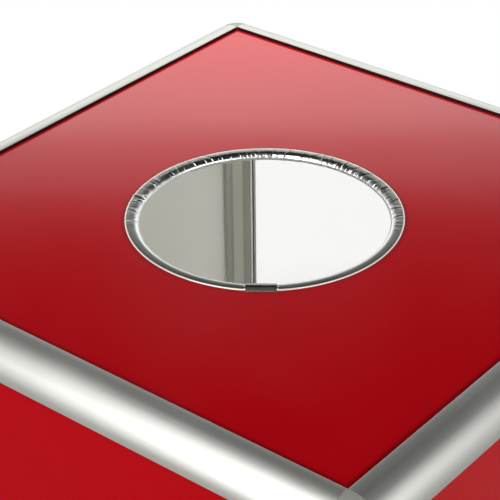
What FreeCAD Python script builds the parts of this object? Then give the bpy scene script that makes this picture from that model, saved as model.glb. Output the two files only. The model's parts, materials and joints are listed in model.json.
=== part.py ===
import FreeCAD, Part
import math
import os
import re
import Sketcher

# Raffle box: an aluminium-edged cube with sheet walls, a hand hole in its top and a small locking
# door in its clear back.
# Millimetres. +Z is up, the origin lies on the table under the middle of the box, and the front
# faces -Y.

SIZES = [
    # whole box
    ("box_length", 300.0, "outside of the frame along X"),
    ("box_depth", 300.0, "outside of the frame along Y"),
    ("box_height", 300.0, "outside of the frame along Z, without the feet"),
    # edge extrusion
    ("rail_width", 15.6, "outer corner to the edge of a lip"),
    ("lip_flat", 1.4, "flat strip along a lip before the round starts"),
    ("lip_thickness", 1.4, "outer lip over the panel"),
    ("inner_lip_thickness", 1.8, "lip behind the panel"),
    ("slot_depth", 4.5, "lip edge to the bottom of the panel slot"),
    ("slot_clearance", 0.1, "panel face to lip, each side"),
    ("rail_wall", 1.2, "wall round the hollow chamber"),
    ("chamber_bevel", 1.0, "least bevel of the chamber's inner corner"),
    ("inner_facet", 3.8, "leg of the slanted face in the inside corner"),
    # corner cap
    ("prong_length", 18.0, "how far a corner cap reaches into each rail"),
    ("prong_clearance", 0.15, "prong to chamber wall"),
    # panels
    ("panel_thickness", 3.0, "sheet of every wall"),
    ("panel_edge_gap", 0.3, "panel edge to the bottom of its slot"),
    # hand hole with its edging
    ("hole_shift_x", -4.3, "middle of the hand hole from the middle of the top"),
    ("hole_shift_y", -6.0, "middle of the hand hole from the middle of the top"),
    ("trim_outer_radius", 60.1, "edging strip, outside of its flanges"),
    ("trim_inner_radius", 54.1, "edging strip, innermost line of its round nose"),
    ("trim_wall", 0.5, "flange of the edging strip"),
    ("trim_nose", 2.05, "solid nose of the strip, from its inner line to the panel edge"),
    ("nose_bevel", 1.3, "bevels of the nose"),
    ("trim_clearance", 0.05, "flange to panel face, and panel edge to nose"),
    ("trim_butt_gap", 0.8, "gap between the two ends of the strip"),
    ("joint_angle", -52.8, "degrees from +X to the joint of the strip"),
    ("clip_length", 12.6, "clip over the joint, along the strip"),
    ("clip_wall", 0.4, "sheet of the clip"),
    ("clip_clearance", 0.05, "clip to strip"),
    ("clip_overhang", 0.8, "clip beyond the flanges of the strip"),
    # door in the back panel
    ("door_width", 180.0, "door leaf along X"),
    ("door_height", 96.0, "door leaf along Z"),
    ("door_low", 28.0, "lower edge of the leaf above the bottom of the frame"),
    ("door_gap", 0.75, "leaf to cut-out, all round"),
    ("door_corner_radius", 5.0, "corners of the leaf"),
    ("stop_width", 12.0, "stop tab along X"),
    ("stop_height", 16.0, "stop tab along Z"),
    ("stop_lap", 4.0, "how far a stop tab reaches over the leaf"),
    ("stop_spread", 34.0, "lock to the middle of a stop tab"),
    ("running_gap", 0.3, "between a fixed and a moving face"),
    # hinge
    ("hinge_height", 32.0, "hinge along its pin"),
    ("hinge_spread", 60.0, "between the middles of the two hinges"),
    ("leaf_reach", 15.0, "pin axis to the outer edge of a leaf"),
    ("leaf_thickness", 1.2, "sheet of a leaf"),
    ("knuckle_radius", 2.2, "outside of a knuckle"),
    ("middle_knuckle", 14.0, "length of the knuckle between the other two"),
    ("pin_radius", 1.0, "hinge pin"),
    ("pin_clearance", 0.05, "pin to knuckle"),
    ("pin_head_radius", 1.7, "rivet head at each end of the pin"),
    ("pin_head_height", 0.6, "rivet head at each end of the pin"),
    # hinge screws and nuts
    ("screw_radius", 1.25, "shank"),
    ("screw_head_radius", 2.45, "countersunk head"),
    ("screw_clearance", 0.1, "shank to hole"),
    ("screw_spread", 18.0, "between the two screws of a leaf"),
    ("screw_inset", 9.5, "pin axis to the screws"),
    ("screw_tip", 0.8, "how far a screw stands out of its nut"),
    ("nut_flats", 5.0, "across the flats"),
    ("nut_height", 2.0, "nut"),
    # cam lock
    ("lock_inset", 20.0, "free edge of the leaf to the lock axis"),
    ("lock_flange_radius", 9.5, "front flange"),
    ("lock_flange_height", 2.0, "front flange"),
    ("lock_flange_bevel", 1.0, "front flange"),
    ("lock_barrel_radius", 7.0, "barrel through the leaf"),
    ("lock_barrel_flats", 12.6, "across the two flats of the barrel"),
    ("lock_barrel_length", 7.5, "back of the flange to the end of the barrel"),
    ("lock_clearance", 0.1, "barrel to leaf"),
    ("plug_radius", 4.75, "key plug"),
    ("plug_clearance", 0.05, "key plug to barrel"),
    ("plug_rim_radius", 6.2, "rim that sits in the flange"),
    ("plug_rim_height", 1.2, "rim that sits in the flange"),
    ("keyway_width", 1.8, "key slot"),
    ("keyway_length", 6.4, "key slot"),
    ("keyway_depth", 6.5, "key slot"),
    ("tail_side", 5.4, "square tail of the plug"),
    ("tail_clearance", 0.05, "tail to the square hole of the cam"),
    ("lock_nut_flats", 18.0, "across the flats"),
    ("lock_nut_height", 3.0, "nut behind the leaf"),
    ("cam_thickness", 2.0, "cam plate"),
    ("cam_width", 13.0, "cam plate"),
    ("cam_reach", 28.0, "lock axis to the tip of the cam"),
    ("cam_bend_start", 11.2, "lock axis to the start of the crank"),
    ("cam_bend_length", 4.0, "length of the crank"),
    ("cam_play", 0.6, "tip of the cam to the inside of the back panel"),
    ("cam_float", 0.1, "end of the barrel to the cam"),
    ("cam_screw_radius", 1.9, "screw that holds the cam"),
    ("cam_screw_head_radius", 3.6, "screw that holds the cam"),
    ("cam_screw_head_height", 2.2, "screw that holds the cam"),
    ("cam_screw_length", 6.0, "under the head"),
    ("cam_screw_slot", 0.9, "width of the slot in its head"),
    ("washer_radius", 4.5, "washer on the cam"),
    ("washer_height", 0.8, "washer on the cam"),
    # feet
    ("foot_height", 5.0, "rubber foot under the bottom panel"),
    ("foot_top_radius", 8.0, "where the foot is glued on"),
    ("foot_bottom_radius", 7.0, "where the foot stands"),
    ("foot_inset", 34.0, "outside of the frame to the middle of a foot"),
]

NAMES = [name for name, _, _ in SIZES]

# Formulas that several pieces share.
RECESS = "(lip_thickness + slot_clearance)"
LIFT = f"(foot_height - {RECESS})"
TOP = f"({LIFT} + box_height)"
SLOT = "(panel_thickness + 2 * slot_clearance)"
SLOT_BOTTOM = "(rail_width - slot_depth)"
INNER_FACE = f"(lip_thickness + {SLOT} + inner_lip_thickness)"
ROUND = "(rail_width - lip_flat)"
PANEL_EDGE = f"({SLOT_BOTTOM} + panel_edge_gap)"
REAR_FACE = f"(box_depth / 2 - {RECESS})"
DOOR_MIDDLE = f"({LIFT} + door_low + door_height / 2)"
HINGE_X = "(-door_width / 2 - door_gap / 2)"
LOCK_X = "(door_width / 2 - lock_inset)"

NEAR = 1e-6  # two places nearer than this are the same

doc = FreeCAD.newDocument("RaffleBox")
sheet = doc.addObject("Spreadsheet::Sheet", "Sizes")
for row, (name, value, note) in enumerate(SIZES, start=1):
    sheet.set(f"A{row}", name)
    sheet.set(f"B{row}", str(value))
    sheet.setAlias(f"B{row}", name)
    sheet.set(f"C{row}", note)
doc.recompute()

pieces = []


# Sheet formulas

def bound(formula):
    """The formula with each size name pointed at the sheet."""
    return re.sub(r"[a-z][a-z_]*", lambda w: f"Sizes.{w[0]}" if w[0] in NAMES else w[0], formula)


def number(formula):
    """What the formula gives with the sheet's present values."""
    return float(sheet.evalExpression(bound(formula)))


def tie(thing, prop, formula):
    """Binds one property of a document object to a formula of the sheet."""
    thing.setExpression(prop, bound(formula))


# Bodies, sketches and features

def new_body(name):
    body = doc.addObject("PartDesign::Body", name)
    body.Label = name
    pieces.append(body)
    return body


def place(piece, position, axes=((1, 0, 0), (0, 1, 0), (0, 0, 1))):
    """Puts a piece's own origin at three formulas, with its X, Y and Z along the given directions."""
    x, y, z = (FreeCAD.Vector(*axis) for axis in axes)
    piece.Placement = FreeCAD.Placement(FreeCAD.Vector(), FreeCAD.Rotation(x, y, z, "ZXY"))
    for letter, formula in zip("xyz", position):
        tie(piece, f"Placement.Base.{letter}", formula)


def new_sketch(body, name, plane="XY_Plane", height="0"):
    """A sketch on one of the body's own origin planes, or at a height above it."""
    sketch = body.newObject("Sketcher::SketchObject", name)
    origin_plane = [o for o in body.Origin.OriginFeatures if o.Role == plane][0]
    sketch.AttachmentSupport = [(origin_plane, "")]
    sketch.MapMode = "FlatFace"
    tie(sketch, "AttachmentOffset.Base.z", height)
    return sketch


def fix(sketch, kind, formula, *where):
    """A dimension of the sketch, bound to a formula."""
    index = sketch.addConstraint(Sketcher.Constraint(kind, *where, number(formula)))
    tie(sketch, f"Constraints[{index}]", formula)


def arc_about(centre, start, end):
    """The circle arc round a centre, anticlockwise from start to end."""
    angles = [math.atan2(p.y - centre.y, p.x - centre.x) for p in (start, end)]
    circle = Part.Circle(centre, FreeCAD.Vector(0, 0, 1), (start - centre).Length)
    return Part.ArcOfCircle(circle, angles[0], angles[1])


def point_at(formulas):
    return FreeCAD.Vector(number(formulas[0]), number(formulas[1]), 0)


def draw_outline(sketch, corners):
    """A closed outline. Each corner is a pair of formulas. A third item is the centre of an
    anticlockwise arc from it to the next corner, and a fourth says that the arc is clockwise."""
    points = [point_at(corner) for corner in corners]
    sides = []
    for i, corner in enumerate(corners):
        start, end = points[i], points[(i + 1) % len(points)]
        if len(corner) == 2:
            sides.append((sketch.addGeometry(Part.LineSegment(start, end)), 1, 2))
            continue
        centre = point_at(corner[2])
        clockwise = len(corner) == 4
        ends = (end, start) if clockwise else (start, end)
        side = sketch.addGeometry(arc_about(centre, *ends))
        sides.append((side, 2, 1) if clockwise else (side, 1, 2))
        chord = end - start
        if abs(chord.y) >= abs(chord.x):
            fix(sketch, "DistanceX", corner[2][0], -1, 1, side, 3)
        else:
            fix(sketch, "DistanceY", corner[2][1], -1, 1, side, 3)
    for i, (side, first, _) in enumerate(sides):
        before, _, last = sides[i - 1]
        sketch.addConstraint(Sketcher.Constraint("Coincident", before, last, side, first))
        fix(sketch, "DistanceX", corners[i][0], -1, 1, side, first)
        fix(sketch, "DistanceY", corners[i][1], -1, 1, side, first)


def draw_rectangle(sketch, low_x, low_y, high_x, high_y):
    draw_outline(sketch, [(low_x, low_y), (high_x, low_y), (high_x, high_y), (low_x, high_y)])


def draw_circle(sketch, radius, x="0", y="0"):
    centre = FreeCAD.Vector(number(x), number(y), 0)
    circle = sketch.addGeometry(Part.Circle(centre, FreeCAD.Vector(0, 0, 1), number(radius)))
    fix(sketch, "Radius", radius, circle)
    fix(sketch, "DistanceX", x, -1, 1, circle, 3)
    fix(sketch, "DistanceY", y, -1, 1, circle, 3)


def draw_hexagon(sketch, flats):
    """A hexagon round the origin, from the distance across its flats."""
    turns = [f"({flats}) / sqrt(3) * cos({60 * i + 30})" for i in range(6)]
    rises = [f"({flats}) / sqrt(3) * sin({60 * i + 30})" for i in range(6)]
    draw_outline(sketch, list(zip(turns, rises)))


def check(feature, grows):
    """Stops the build at a feature that failed or changed nothing."""
    doc.recompute()
    before = feature.BaseFeature.Shape.Volume if feature.BaseFeature else 0
    change = feature.Shape.Volume - before
    if "Invalid" in feature.State or "Error" in feature.State or change * grows <= 0:
        raise RuntimeError(f"{feature.Label} failed: its volume changed by {change:.3f}")
    return feature


def pad(body, sketch, length, both_ways=False, backwards=False):
    feature = body.newObject("PartDesign::Pad", f"{sketch.Name}_pad")
    feature.Profile = sketch
    feature.SideType = "Symmetric" if both_ways else "One side"
    feature.Reversed = backwards
    tie(feature, "Length", length)
    return check(feature, 1)


def pocket(body, sketch, depth="", both_ways=False, backwards=False):
    """A cut of some depth, or right through where no depth is given."""
    feature = body.newObject("PartDesign::Pocket", f"{sketch.Name}_cut")
    feature.Profile = sketch
    feature.Reversed = backwards
    feature.SideType = "Symmetric" if both_ways else "One side"
    if depth:
        tie(feature, "Length", depth)
    else:
        feature.Type = "ThroughAll"
    return check(feature, -1)


def revolve(body, sketch, angle="360"):
    """A solid of revolution round the sketch's upright axis, evenly to both sides of the sketch."""
    feature = body.newObject("PartDesign::Revolution", f"{sketch.Name}_turn")
    feature.Profile = sketch
    feature.ReferenceAxis = (sketch, ["V_Axis"])
    feature.Midplane = True
    tie(feature, "Angle", angle)
    return check(feature, 1)


def chosen_edges(feature, test):
    return [f"Edge{i}" for i, edge in enumerate(feature.Shape.Edges, start=1) if test(edge)]


def fillet(body, base, radius, test, grows=-1):
    feature = body.newObject("PartDesign::Fillet", f"{base.Name}_round")
    feature.Base = (base, chosen_edges(base, test))
    tie(feature, "Radius", radius)
    return check(feature, grows)


def chamfer(body, base, size, test, grows=-1):
    feature = body.newObject("PartDesign::Chamfer", f"{base.Name}_bevel")
    feature.Base = (base, chosen_edges(base, test))
    tie(feature, "Size", size)
    return check(feature, grows)


def touches(point):
    """A test for the edges that end at a point."""
    return lambda edge: any((v.Point - point).Length < NEAR for v in edge.Vertexes)


def upright_edges_at(letter, places):
    """A test for the edges along Z of the body whose x or y is one of the places."""
    def test(edge):
        first, last = edge.Vertexes[0].Point, edge.Vertexes[-1].Point
        upright = math.hypot(last.x - first.x, last.y - first.y) < NEAR and first != last
        return upright and min(abs(getattr(first, letter) - spot) for spot in places) < NEAR
    return test


def circles_at(height, radius):
    """A test for the full circles of one radius at one height of the body."""
    def test(edge):
        round_edge = isinstance(edge.Curve, Part.Circle) and len(edge.Vertexes) == 1
        return (
            round_edge
            and abs(edge.Curve.Radius - radius) < NEAR
            and abs(edge.Vertexes[0].Point.z - height) < NEAR
        )
    return test


def group_of(name, shapes):
    """Several like solids as one piece."""
    group = doc.addObject("Part::Feature", name)
    group.Label = name
    group.Shape = Part.makeCompound(shapes)
    pieces.append(group)
    return group


def inward(signs):
    """The three directions from an outer corner or edge into the box, in a right-handed order."""
    axes = [tuple(-s if i == n else 0 for i in range(3)) for n, s in enumerate(signs)]
    return axes if signs[0] * signs[1] * signs[2] < 0 else [axes[1], axes[0], axes[2]]


# Frame: twelve edge rails and eight corner caps

HALF = ("(box_length / 2)", "(box_depth / 2)", "(box_height / 2)")
MIDDLE = ("0", "0", f"({LIFT} + box_height / 2)")


def side_of(axis, sign):
    """Formula of the frame's outer face on one side of an axis, or of its middle."""
    return f"{MIDDLE[axis]} + {sign} * {HALF[axis]}"


def chamber_outline(gap):
    """The hollow that runs through a rail, or with a gap the prong that fits in it. Its slanted side
    keeps a wall to the inside facet, and stays a bevel where that wall lies past the corner."""
    reach = f"({SLOT_BOTTOM} - rail_wall - {gap})"
    radius = f"({ROUND} - rail_wall - {gap})"
    low = f"({ROUND} - sqrt({radius} ^ 2 - ({ROUND} - {reach}) ^ 2))"
    walled = f"2 * {INNER_FACE} + inner_facet - (rail_wall + {gap}) * sqrt(2) - {reach}"
    high = f"min({walled}; {reach} - chamber_bevel)"
    return [(reach, low), (reach, high), (high, reach), (low, reach, (ROUND, ROUND))]


def make_rail(name, along, signs):
    """One edge extrusion: a quarter round with a panel slot on each leg, hollow in its corner."""
    body = new_body(name)
    section = new_sketch(body, f"{name}_section")
    facet_end = f"({INNER_FACE} + inner_facet)"
    slot_far = f"(lip_thickness + {SLOT})"
    draw_outline(section, [
        ("rail_width", "0"),
        ("rail_width", "lip_thickness"),
        (SLOT_BOTTOM, "lip_thickness"),
        (SLOT_BOTTOM, slot_far),
        ("rail_width", slot_far),
        ("rail_width", INNER_FACE),
        (facet_end, INNER_FACE),
        (INNER_FACE, facet_end),
        (INNER_FACE, "rail_width"),
        (slot_far, "rail_width"),
        (slot_far, SLOT_BOTTOM),
        ("lip_thickness", SLOT_BOTTOM),
        ("lip_thickness", "rail_width"),
        ("0", "rail_width"),
        ("0", ROUND, (ROUND, ROUND)),
        (ROUND, "0"),
    ])
    draw_outline(section, chamber_outline("0"))
    pad(body, section, f"2 * {HALF[along]} - 2 * rail_width", both_ways=True)
    across = [axis for axis in range(3) if axis != along]
    x, y = (tuple(-signs[a] if i == a else 0 for i in range(3)) for a in across)
    z = tuple(FreeCAD.Vector(*x).cross(FreeCAD.Vector(*y)))
    place(body, [side_of(axis, signs[axis]) for axis in range(3)], (x, y, z))


def make_corner(name, signs):
    """One ball corner: a rounded block with a prong for each rail and a slot for each panel."""
    body = new_body(name)
    block = new_sketch(body, f"{name}_block")
    draw_rectangle(block, "0", "0", "rail_width", "rail_width")
    solid = pad(body, block, "rail_width")
    fillet(body, solid, ROUND, touches(FreeCAD.Vector()))
    inside = new_sketch(body, f"{name}_inside", height="rail_width")
    past = "(2 * rail_width)"
    draw_rectangle(inside, INNER_FACE, INNER_FACE, past, past)
    hollow = pocket(body, inside, f"rail_width - {INNER_FACE}")
    depth = number(INNER_FACE)
    chamfer(body, hollow, "inner_facet", touches(FreeCAD.Vector(depth, depth, depth)), grows=1)
    slot = new_sketch(body, f"{name}_slot", height=f"lip_thickness + {SLOT}")
    draw_rectangle(slot, SLOT_BOTTOM, SLOT_BOTTOM, past, past)
    slot_cut = pocket(body, slot, SLOT)
    repeat_three_ways(body, slot_cut, f"{name}_slots", -1)
    prong = new_sketch(body, f"{name}_prong", height="rail_width")
    draw_outline(prong, chamber_outline("prong_clearance"))
    prong_pad = pad(body, prong, "prong_length")
    repeat_three_ways(body, prong_pad, f"{name}_prongs", 1)
    place(body, [side_of(axis, signs[axis]) for axis in range(3)], inward(signs))


def repeat_three_ways(body, feature, name, grows):
    """The feature again for the two other directions, turned round the corner's diagonal."""
    diagonal = body.newObject("PartDesign::Line", f"{name}_axis")
    turn = FreeCAD.Rotation(FreeCAD.Vector(0, 0, 1), FreeCAD.Vector(1, 1, 1))
    diagonal.Placement = FreeCAD.Placement(FreeCAD.Vector(), turn)
    pattern = body.newObject("PartDesign::PolarPattern", name)
    pattern.Originals = [feature]
    pattern.Axis = (diagonal, [""])
    pattern.Angle = 360
    pattern.Occurrences = 3
    body.Tip = pattern
    return check(pattern, grows)


SIDES_X = {"left": -1, "right": 1}
SIDES_Y = {"front": -1, "back": 1}
SIDES_Z = {"bottom": -1, "top": 1}
for level, sz in SIDES_Z.items():
    for side, sy in SIDES_Y.items():
        make_rail(f"{level}_{side}_rail", 0, (0, sy, sz))
    for side, sx in SIDES_X.items():
        make_rail(f"{level}_{side}_rail", 1, (sx, 0, sz))
for depth_side, sy in SIDES_Y.items():
    for side, sx in SIDES_X.items():
        make_rail(f"{depth_side}_{side}_post", 2, (sx, sy, 0))
        for level, sz in SIDES_Z.items():
            make_corner(f"{level}_{depth_side}_{side}_corner", (sx, sy, sz))


# Panels

def make_panel(name, across, up, out, position):
    """A sheet wall that fills the slots of its four rails. Its own Z points out of the box, its Y
    along the axis named by up, and its X to the right of someone who looks at it from outside."""
    body = new_body(name)
    outline = new_sketch(body, f"{name}_outline")
    half_wide, half_high = (f"({HALF[axis]} - {PANEL_EDGE})" for axis in (across, up))
    draw_rectangle(outline, f"-{half_wide}", f"-{half_high}", half_wide, half_high)
    pad(body, outline, "panel_thickness", backwards=True)
    y = tuple(int(axis == up) for axis in range(3))
    x = tuple(FreeCAD.Vector(*y).cross(FreeCAD.Vector(*out)))
    place(body, position, (x, y, out))
    return body


MID_Z = MIDDLE[2]
top_panel = make_panel("top_panel", 0, 1, (0, 0, 1), ("0", "0", f"{TOP} - {RECESS}"))
make_panel("bottom_panel", 0, 1, (0, 0, -1), ("0", "0", f"{LIFT} + {RECESS}"))
make_panel("front_panel", 0, 2, (0, -1, 0), ("0", f"-({REAR_FACE})", MID_Z))
make_panel("left_panel", 1, 2, (-1, 0, 0), (f"-box_length / 2 + {RECESS}", "0", MID_Z))
make_panel("right_panel", 1, 2, (1, 0, 0), (f"box_length / 2 - {RECESS}", "0", MID_Z))
back_panel = make_panel("back_panel", 0, 2, (0, 1, 0), ("0", REAR_FACE, MID_Z))


# Hand hole with its edging strip and joint clip

GRIP = "(panel_thickness / 2 + trim_clearance)"
TRIM_HALF = f"({GRIP} + trim_wall)"
NOSE_X = "(trim_inner_radius + trim_nose)"
HOLE_MIDDLE = ("hole_shift_x", "hole_shift_y", f"{TOP} - {RECESS} - panel_thickness / 2")


def turned_to(angle):
    """Axes of a piece that is turned about the upright by an angle in degrees."""
    c, s = math.cos(math.radians(angle)), math.sin(math.radians(angle))
    return ((c, s, 0), (-s, c, 0), (0, 0, 1))


def cut_hand_hole():
    circle = new_sketch(top_panel, "hand_hole")
    draw_circle(circle, f"{NOSE_X} + trim_clearance", "hole_shift_x", "hole_shift_y")
    pocket(top_panel, circle)


def make_hole_trim():
    """A strip with a bevelled nose and two flanges, bent round the hole until its ends meet."""
    body = new_body("hole_trim")
    section = new_sketch(body, "hole_trim_section", "XZ_Plane")
    flat = f"({TRIM_HALF} - nose_bevel)"
    draw_outline(section, [
        ("trim_inner_radius + nose_bevel", TRIM_HALF),
        ("trim_inner_radius", flat),
        ("trim_inner_radius", f"-{flat}"),
        ("trim_inner_radius + nose_bevel", f"-{TRIM_HALF}"),
        ("trim_outer_radius", f"-{TRIM_HALF}"),
        ("trim_outer_radius", f"-{GRIP}"),
        (NOSE_X, f"-{GRIP}"),
        (NOSE_X, GRIP),
        ("trim_outer_radius", GRIP),
        ("trim_outer_radius", TRIM_HALF),
    ])
    revolve(body, section, "360 - trim_butt_gap / trim_inner_radius * 180 / pi")
    place(body, HOLE_MIDDLE, turned_to(number("joint_angle") + 180))


def make_trim_clip():
    """A folded sheet sleeve that hides the joint of the strip and pinches it."""
    body = new_body("trim_clip")
    section = new_sketch(body, "trim_clip_section", "XZ_Plane")
    inner = f"({TRIM_HALF} + clip_clearance)"
    outer = f"({inner} + clip_wall)"
    near = "(trim_inner_radius - clip_clearance)"
    nose = f"({near} - clip_wall)"
    edge = "(trim_outer_radius + clip_overhang)"
    hook = f"({edge} - clip_wall)"
    seat = "(panel_thickness / 2 + clip_clearance)"
    draw_outline(section, [
        (f"{nose} + nose_bevel", outer),
        (nose, f"{outer} - nose_bevel"),
        (nose, f"nose_bevel - {outer}"),
        (f"{nose} + nose_bevel", f"-{outer}"),
        (edge, f"-{outer}"),
        (edge, f"-{seat}"),
        (hook, f"-{seat}"),
        (hook, f"-{inner}"),
        (f"{near} + nose_bevel", f"-{inner}"),
        (near, f"nose_bevel - {inner}"),
        (near, f"{inner} - nose_bevel"),
        (f"{near} + nose_bevel", inner),
        (hook, inner),
        (hook, seat),
        (edge, seat),
        (edge, outer),
    ])
    revolve(body, section, "clip_length / trim_outer_radius * 180 / pi")
    place(body, HOLE_MIDDLE, turned_to(number("joint_angle")))


cut_hand_hole()
make_hole_trim()
make_trim_clip()


# Door in the back panel. Pieces here have X across, Y up and Z into the box, from the back
# panel's outer face.

REAR_AXES = ((1, 0, 0), (0, 0, 1), (0, -1, 0))


def place_rear(piece, x="0", height=DOOR_MIDDLE):
    place(piece, (x, REAR_FACE, height), REAR_AXES)


def draw_rounded_rectangle(sketch, half_x, half_y, radius):
    """A rectangle round the origin with quarter rounds at its corners."""
    x, y = f"({half_x})", f"({half_y})"
    inner_x, inner_y = f"({half_x} - {radius})", f"({half_y} - {radius})"
    draw_outline(sketch, [
        (x, f"-{inner_y}"),
        (x, inner_y, (inner_x, inner_y)),
        (inner_x, y),
        (f"-{inner_x}", y, (f"-{inner_x}", inner_y)),
        (f"-{x}", inner_y),
        (f"-{x}", f"-{inner_y}", (f"-{inner_x}", f"-{inner_y}")),
        (f"-{inner_x}", f"-{y}"),
        (inner_x, f"-{y}", (inner_x, f"-{inner_y}")),
    ])


def draw_two_flats(sketch, radius, flats, x="0", y="0"):
    """A circle cut by two upright flats."""
    half = f"({flats}) / 2"
    rise = f"sqrt(({radius}) ^ 2 - ({half}) ^ 2)"
    draw_outline(sketch, [
        (f"{x} + {half}", f"{y} - {rise}"),
        (f"{x} + {half}", f"{y} + {rise}", (x, y)),
        (f"{x} - {half}", f"{y} + {rise}"),
        (f"{x} - {half}", f"{y} - {rise}", (x, y)),
    ])


def screw_heights():
    """Formulas of the heights of a leaf's two screws."""
    return [f"{side} * screw_spread / 2" for side in (-1, 1)]


def cut_screw_holes(body, name, x, middles):
    """Round holes for the hinge screws, in the sheet that a leaf is screwed to."""
    for i, middle in enumerate(middles):
        for j, rise in enumerate(screw_heights()):
            hole = new_sketch(body, f"{name}_screw_hole_{i}_{j}")
            draw_circle(hole, "screw_radius + screw_clearance", x, f"{middle} + {rise}")
            pocket(body, hole, both_ways=True)


HINGE_MIDDLES = ["-hinge_spread / 2", "hinge_spread / 2"]


def cut_door_opening():
    """The cut-out in the back panel, whose own X runs against the box's X."""
    opening = new_sketch(back_panel, "door_opening")
    rise = f"({DOOR_MIDDLE} - {MID_Z})"
    half_x, half_y = "(door_width / 2 + door_gap)", "(door_height / 2 + door_gap)"
    radius = "(door_corner_radius + door_gap)"
    draw_rounded_rectangle(opening, half_x, half_y, radius)
    tie(opening, "AttachmentOffset.Base.y", rise)
    pocket(back_panel, opening)
    middles = [f"{rise} + {middle}" for middle in HINGE_MIDDLES]
    cut_screw_holes(back_panel, "frame", f"screw_inset - {HINGE_X}", middles)


def make_door_leaf():
    body = new_body("door_leaf")
    outline = new_sketch(body, "door_outline")
    draw_rounded_rectangle(outline, "door_width / 2", "door_height / 2", "door_corner_radius")
    pad(body, outline, "panel_thickness")
    hole = new_sketch(body, "lock_hole")
    radius = "(lock_barrel_radius + lock_clearance)"
    flats = "(lock_barrel_flats + 2 * lock_clearance)"
    draw_two_flats(hole, radius, flats, LOCK_X)
    pocket(body, hole, both_ways=True)
    cut_screw_holes(body, "door", f"{HINGE_X} + screw_inset", HINGE_MIDDLES)
    place_rear(body)


def make_stop(name, side):
    """A clear tab behind the edge of the cut-out that the closed leaf meets."""
    body = new_body(name)
    outline = new_sketch(body, f"{name}_outline", height="panel_thickness + running_gap")
    low_x = "door_width / 2 - stop_lap"
    middle = f"{side} * stop_spread"
    draw_rectangle(
        outline,
        low_x,
        f"{middle} - stop_height / 2",
        f"{low_x} + stop_width",
        f"{middle} + stop_height / 2",
    )
    pad(body, outline, "panel_thickness")
    place_rear(body)


cut_door_opening()
make_door_leaf()
make_stop("lower_door_stop", -1)
make_stop("upper_door_stop", 1)


# Hinges. The pin stands off the panels by the knuckle and a running gap.

PIN_Z = "(-knuckle_radius - running_gap)"
NOTCH = "(knuckle_radius + running_gap)"
MIDDLE_HALF = "(middle_knuckle / 2)"


def make_leaf(name, side, height, inner):
    """A stamped leaf with its knuckles rolled at the pin: the outer two, or the middle one."""
    body = new_body(name)
    top = "hinge_height / 2"
    edge = f"{side} * leaf_reach"
    notch = f"{side} * {NOTCH}"
    step = MIDDLE_HALF if inner else f"({MIDDLE_HALF} + running_gap)"
    near, far = ("0", notch) if inner else (notch, "0")
    plate = new_sketch(body, f"{name}_plate")
    corners = [
        (edge, f"-{top}"),
        (far, f"-{top}"),
        (far, f"-{step}"),
        (near, f"-{step}"),
        (near, step),
        (far, step),
        (far, top),
        (edge, top),
    ]
    draw_outline(plate, corners if side > 0 else corners[::-1])
    solid = pad(body, plate, "leaf_thickness", backwards=True)
    fillet(body, solid, "2 * leaf_thickness", upright_edges_at("x", [number(edge)]))
    if inner:
        spans = [(f"-{step}", "middle_knuckle")]
    else:
        outer_length = f"({top} - {step})"
        spans = [(f"-{top}", outer_length), (step, outer_length)]
    for i, (low, length) in enumerate(spans):
        knuckle = new_sketch(body, f"{name}_knuckle_{i}", "XZ_Plane", height=f"-({low})")
        draw_circle(knuckle, "knuckle_radius", "0", PIN_Z)
        pad(body, knuckle, length, backwards=True)
    bore = new_sketch(body, f"{name}_bore", "XZ_Plane")
    draw_circle(bore, "pin_radius + pin_clearance", "0", PIN_Z)
    pocket(body, bore, both_ways=True)
    for i, rise in enumerate(screw_heights()):
        hole = new_sketch(body, f"{name}_hole_{i}")
        draw_circle(hole, "screw_radius + screw_clearance", f"{side} * screw_inset", rise)
        drilled = pocket(body, hole, both_ways=True)
    mouth = circles_at(-number("leaf_thickness"), number("screw_radius + screw_clearance"))
    chamfer(body, drilled, "screw_head_radius - screw_radius - screw_clearance / 2", mouth)
    place_rear(body, HINGE_X, height)


def make_pin(name, height):
    """A hinge pin with a flat rivet head at each end."""
    body = new_body(name)
    half = "(hinge_height / 2 + running_gap)"
    tip = f"({half} + pin_head_height)"
    section = new_sketch(body, f"{name}_section")
    draw_outline(section, [
        ("0", f"-{tip}"),
        ("pin_head_radius", f"-{tip}"),
        ("pin_head_radius", f"-{half}"),
        ("pin_radius", f"-{half}"),
        ("pin_radius", half),
        ("pin_head_radius", half),
        ("pin_head_radius", tip),
        ("0", tip),
    ])
    revolve(body, section)
    place(body, (HINGE_X, f"{REAR_FACE} - {PIN_Z}", height), REAR_AXES)


for word, middle in zip(("lower", "upper"), HINGE_MIDDLES):
    level = f"{DOOR_MIDDLE} + {middle}"
    make_leaf(f"{word}_hinge_frame_leaf", -1, level, inner=False)
    make_leaf(f"{word}_hinge_door_leaf", 1, level, inner=True)
    make_pin(f"{word}_hinge_pin", level)


# Hinge screws and nuts

PLATE_OUT = "(leaf_thickness)"
SCREW_UNDER = "(leaf_thickness + panel_thickness + nut_height + screw_tip)"


def make_screw():
    """A countersunk screw, pointing along +Z from the top of its head."""
    body = doc.addObject("PartDesign::Body", "hinge_screw")
    cone = "(screw_head_radius - screw_radius)"
    section = new_sketch(body, "hinge_screw_section", "XZ_Plane")
    draw_outline(section, [
        ("0", "0"),
        ("screw_head_radius", "0"),
        ("screw_radius", cone),
        ("screw_radius", SCREW_UNDER),
        ("0", SCREW_UNDER),
    ])
    revolve(body, section)
    return body


def make_nut():
    """A hexagon nut, its near face at its own origin."""
    body = doc.addObject("PartDesign::Body", "hinge_nut")
    outline = new_sketch(body, "hinge_nut_outline")
    draw_hexagon(outline, "nut_flats")
    draw_circle(outline, "screw_radius + screw_clearance / 2")
    pad(body, outline, "nut_height")
    return body


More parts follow.
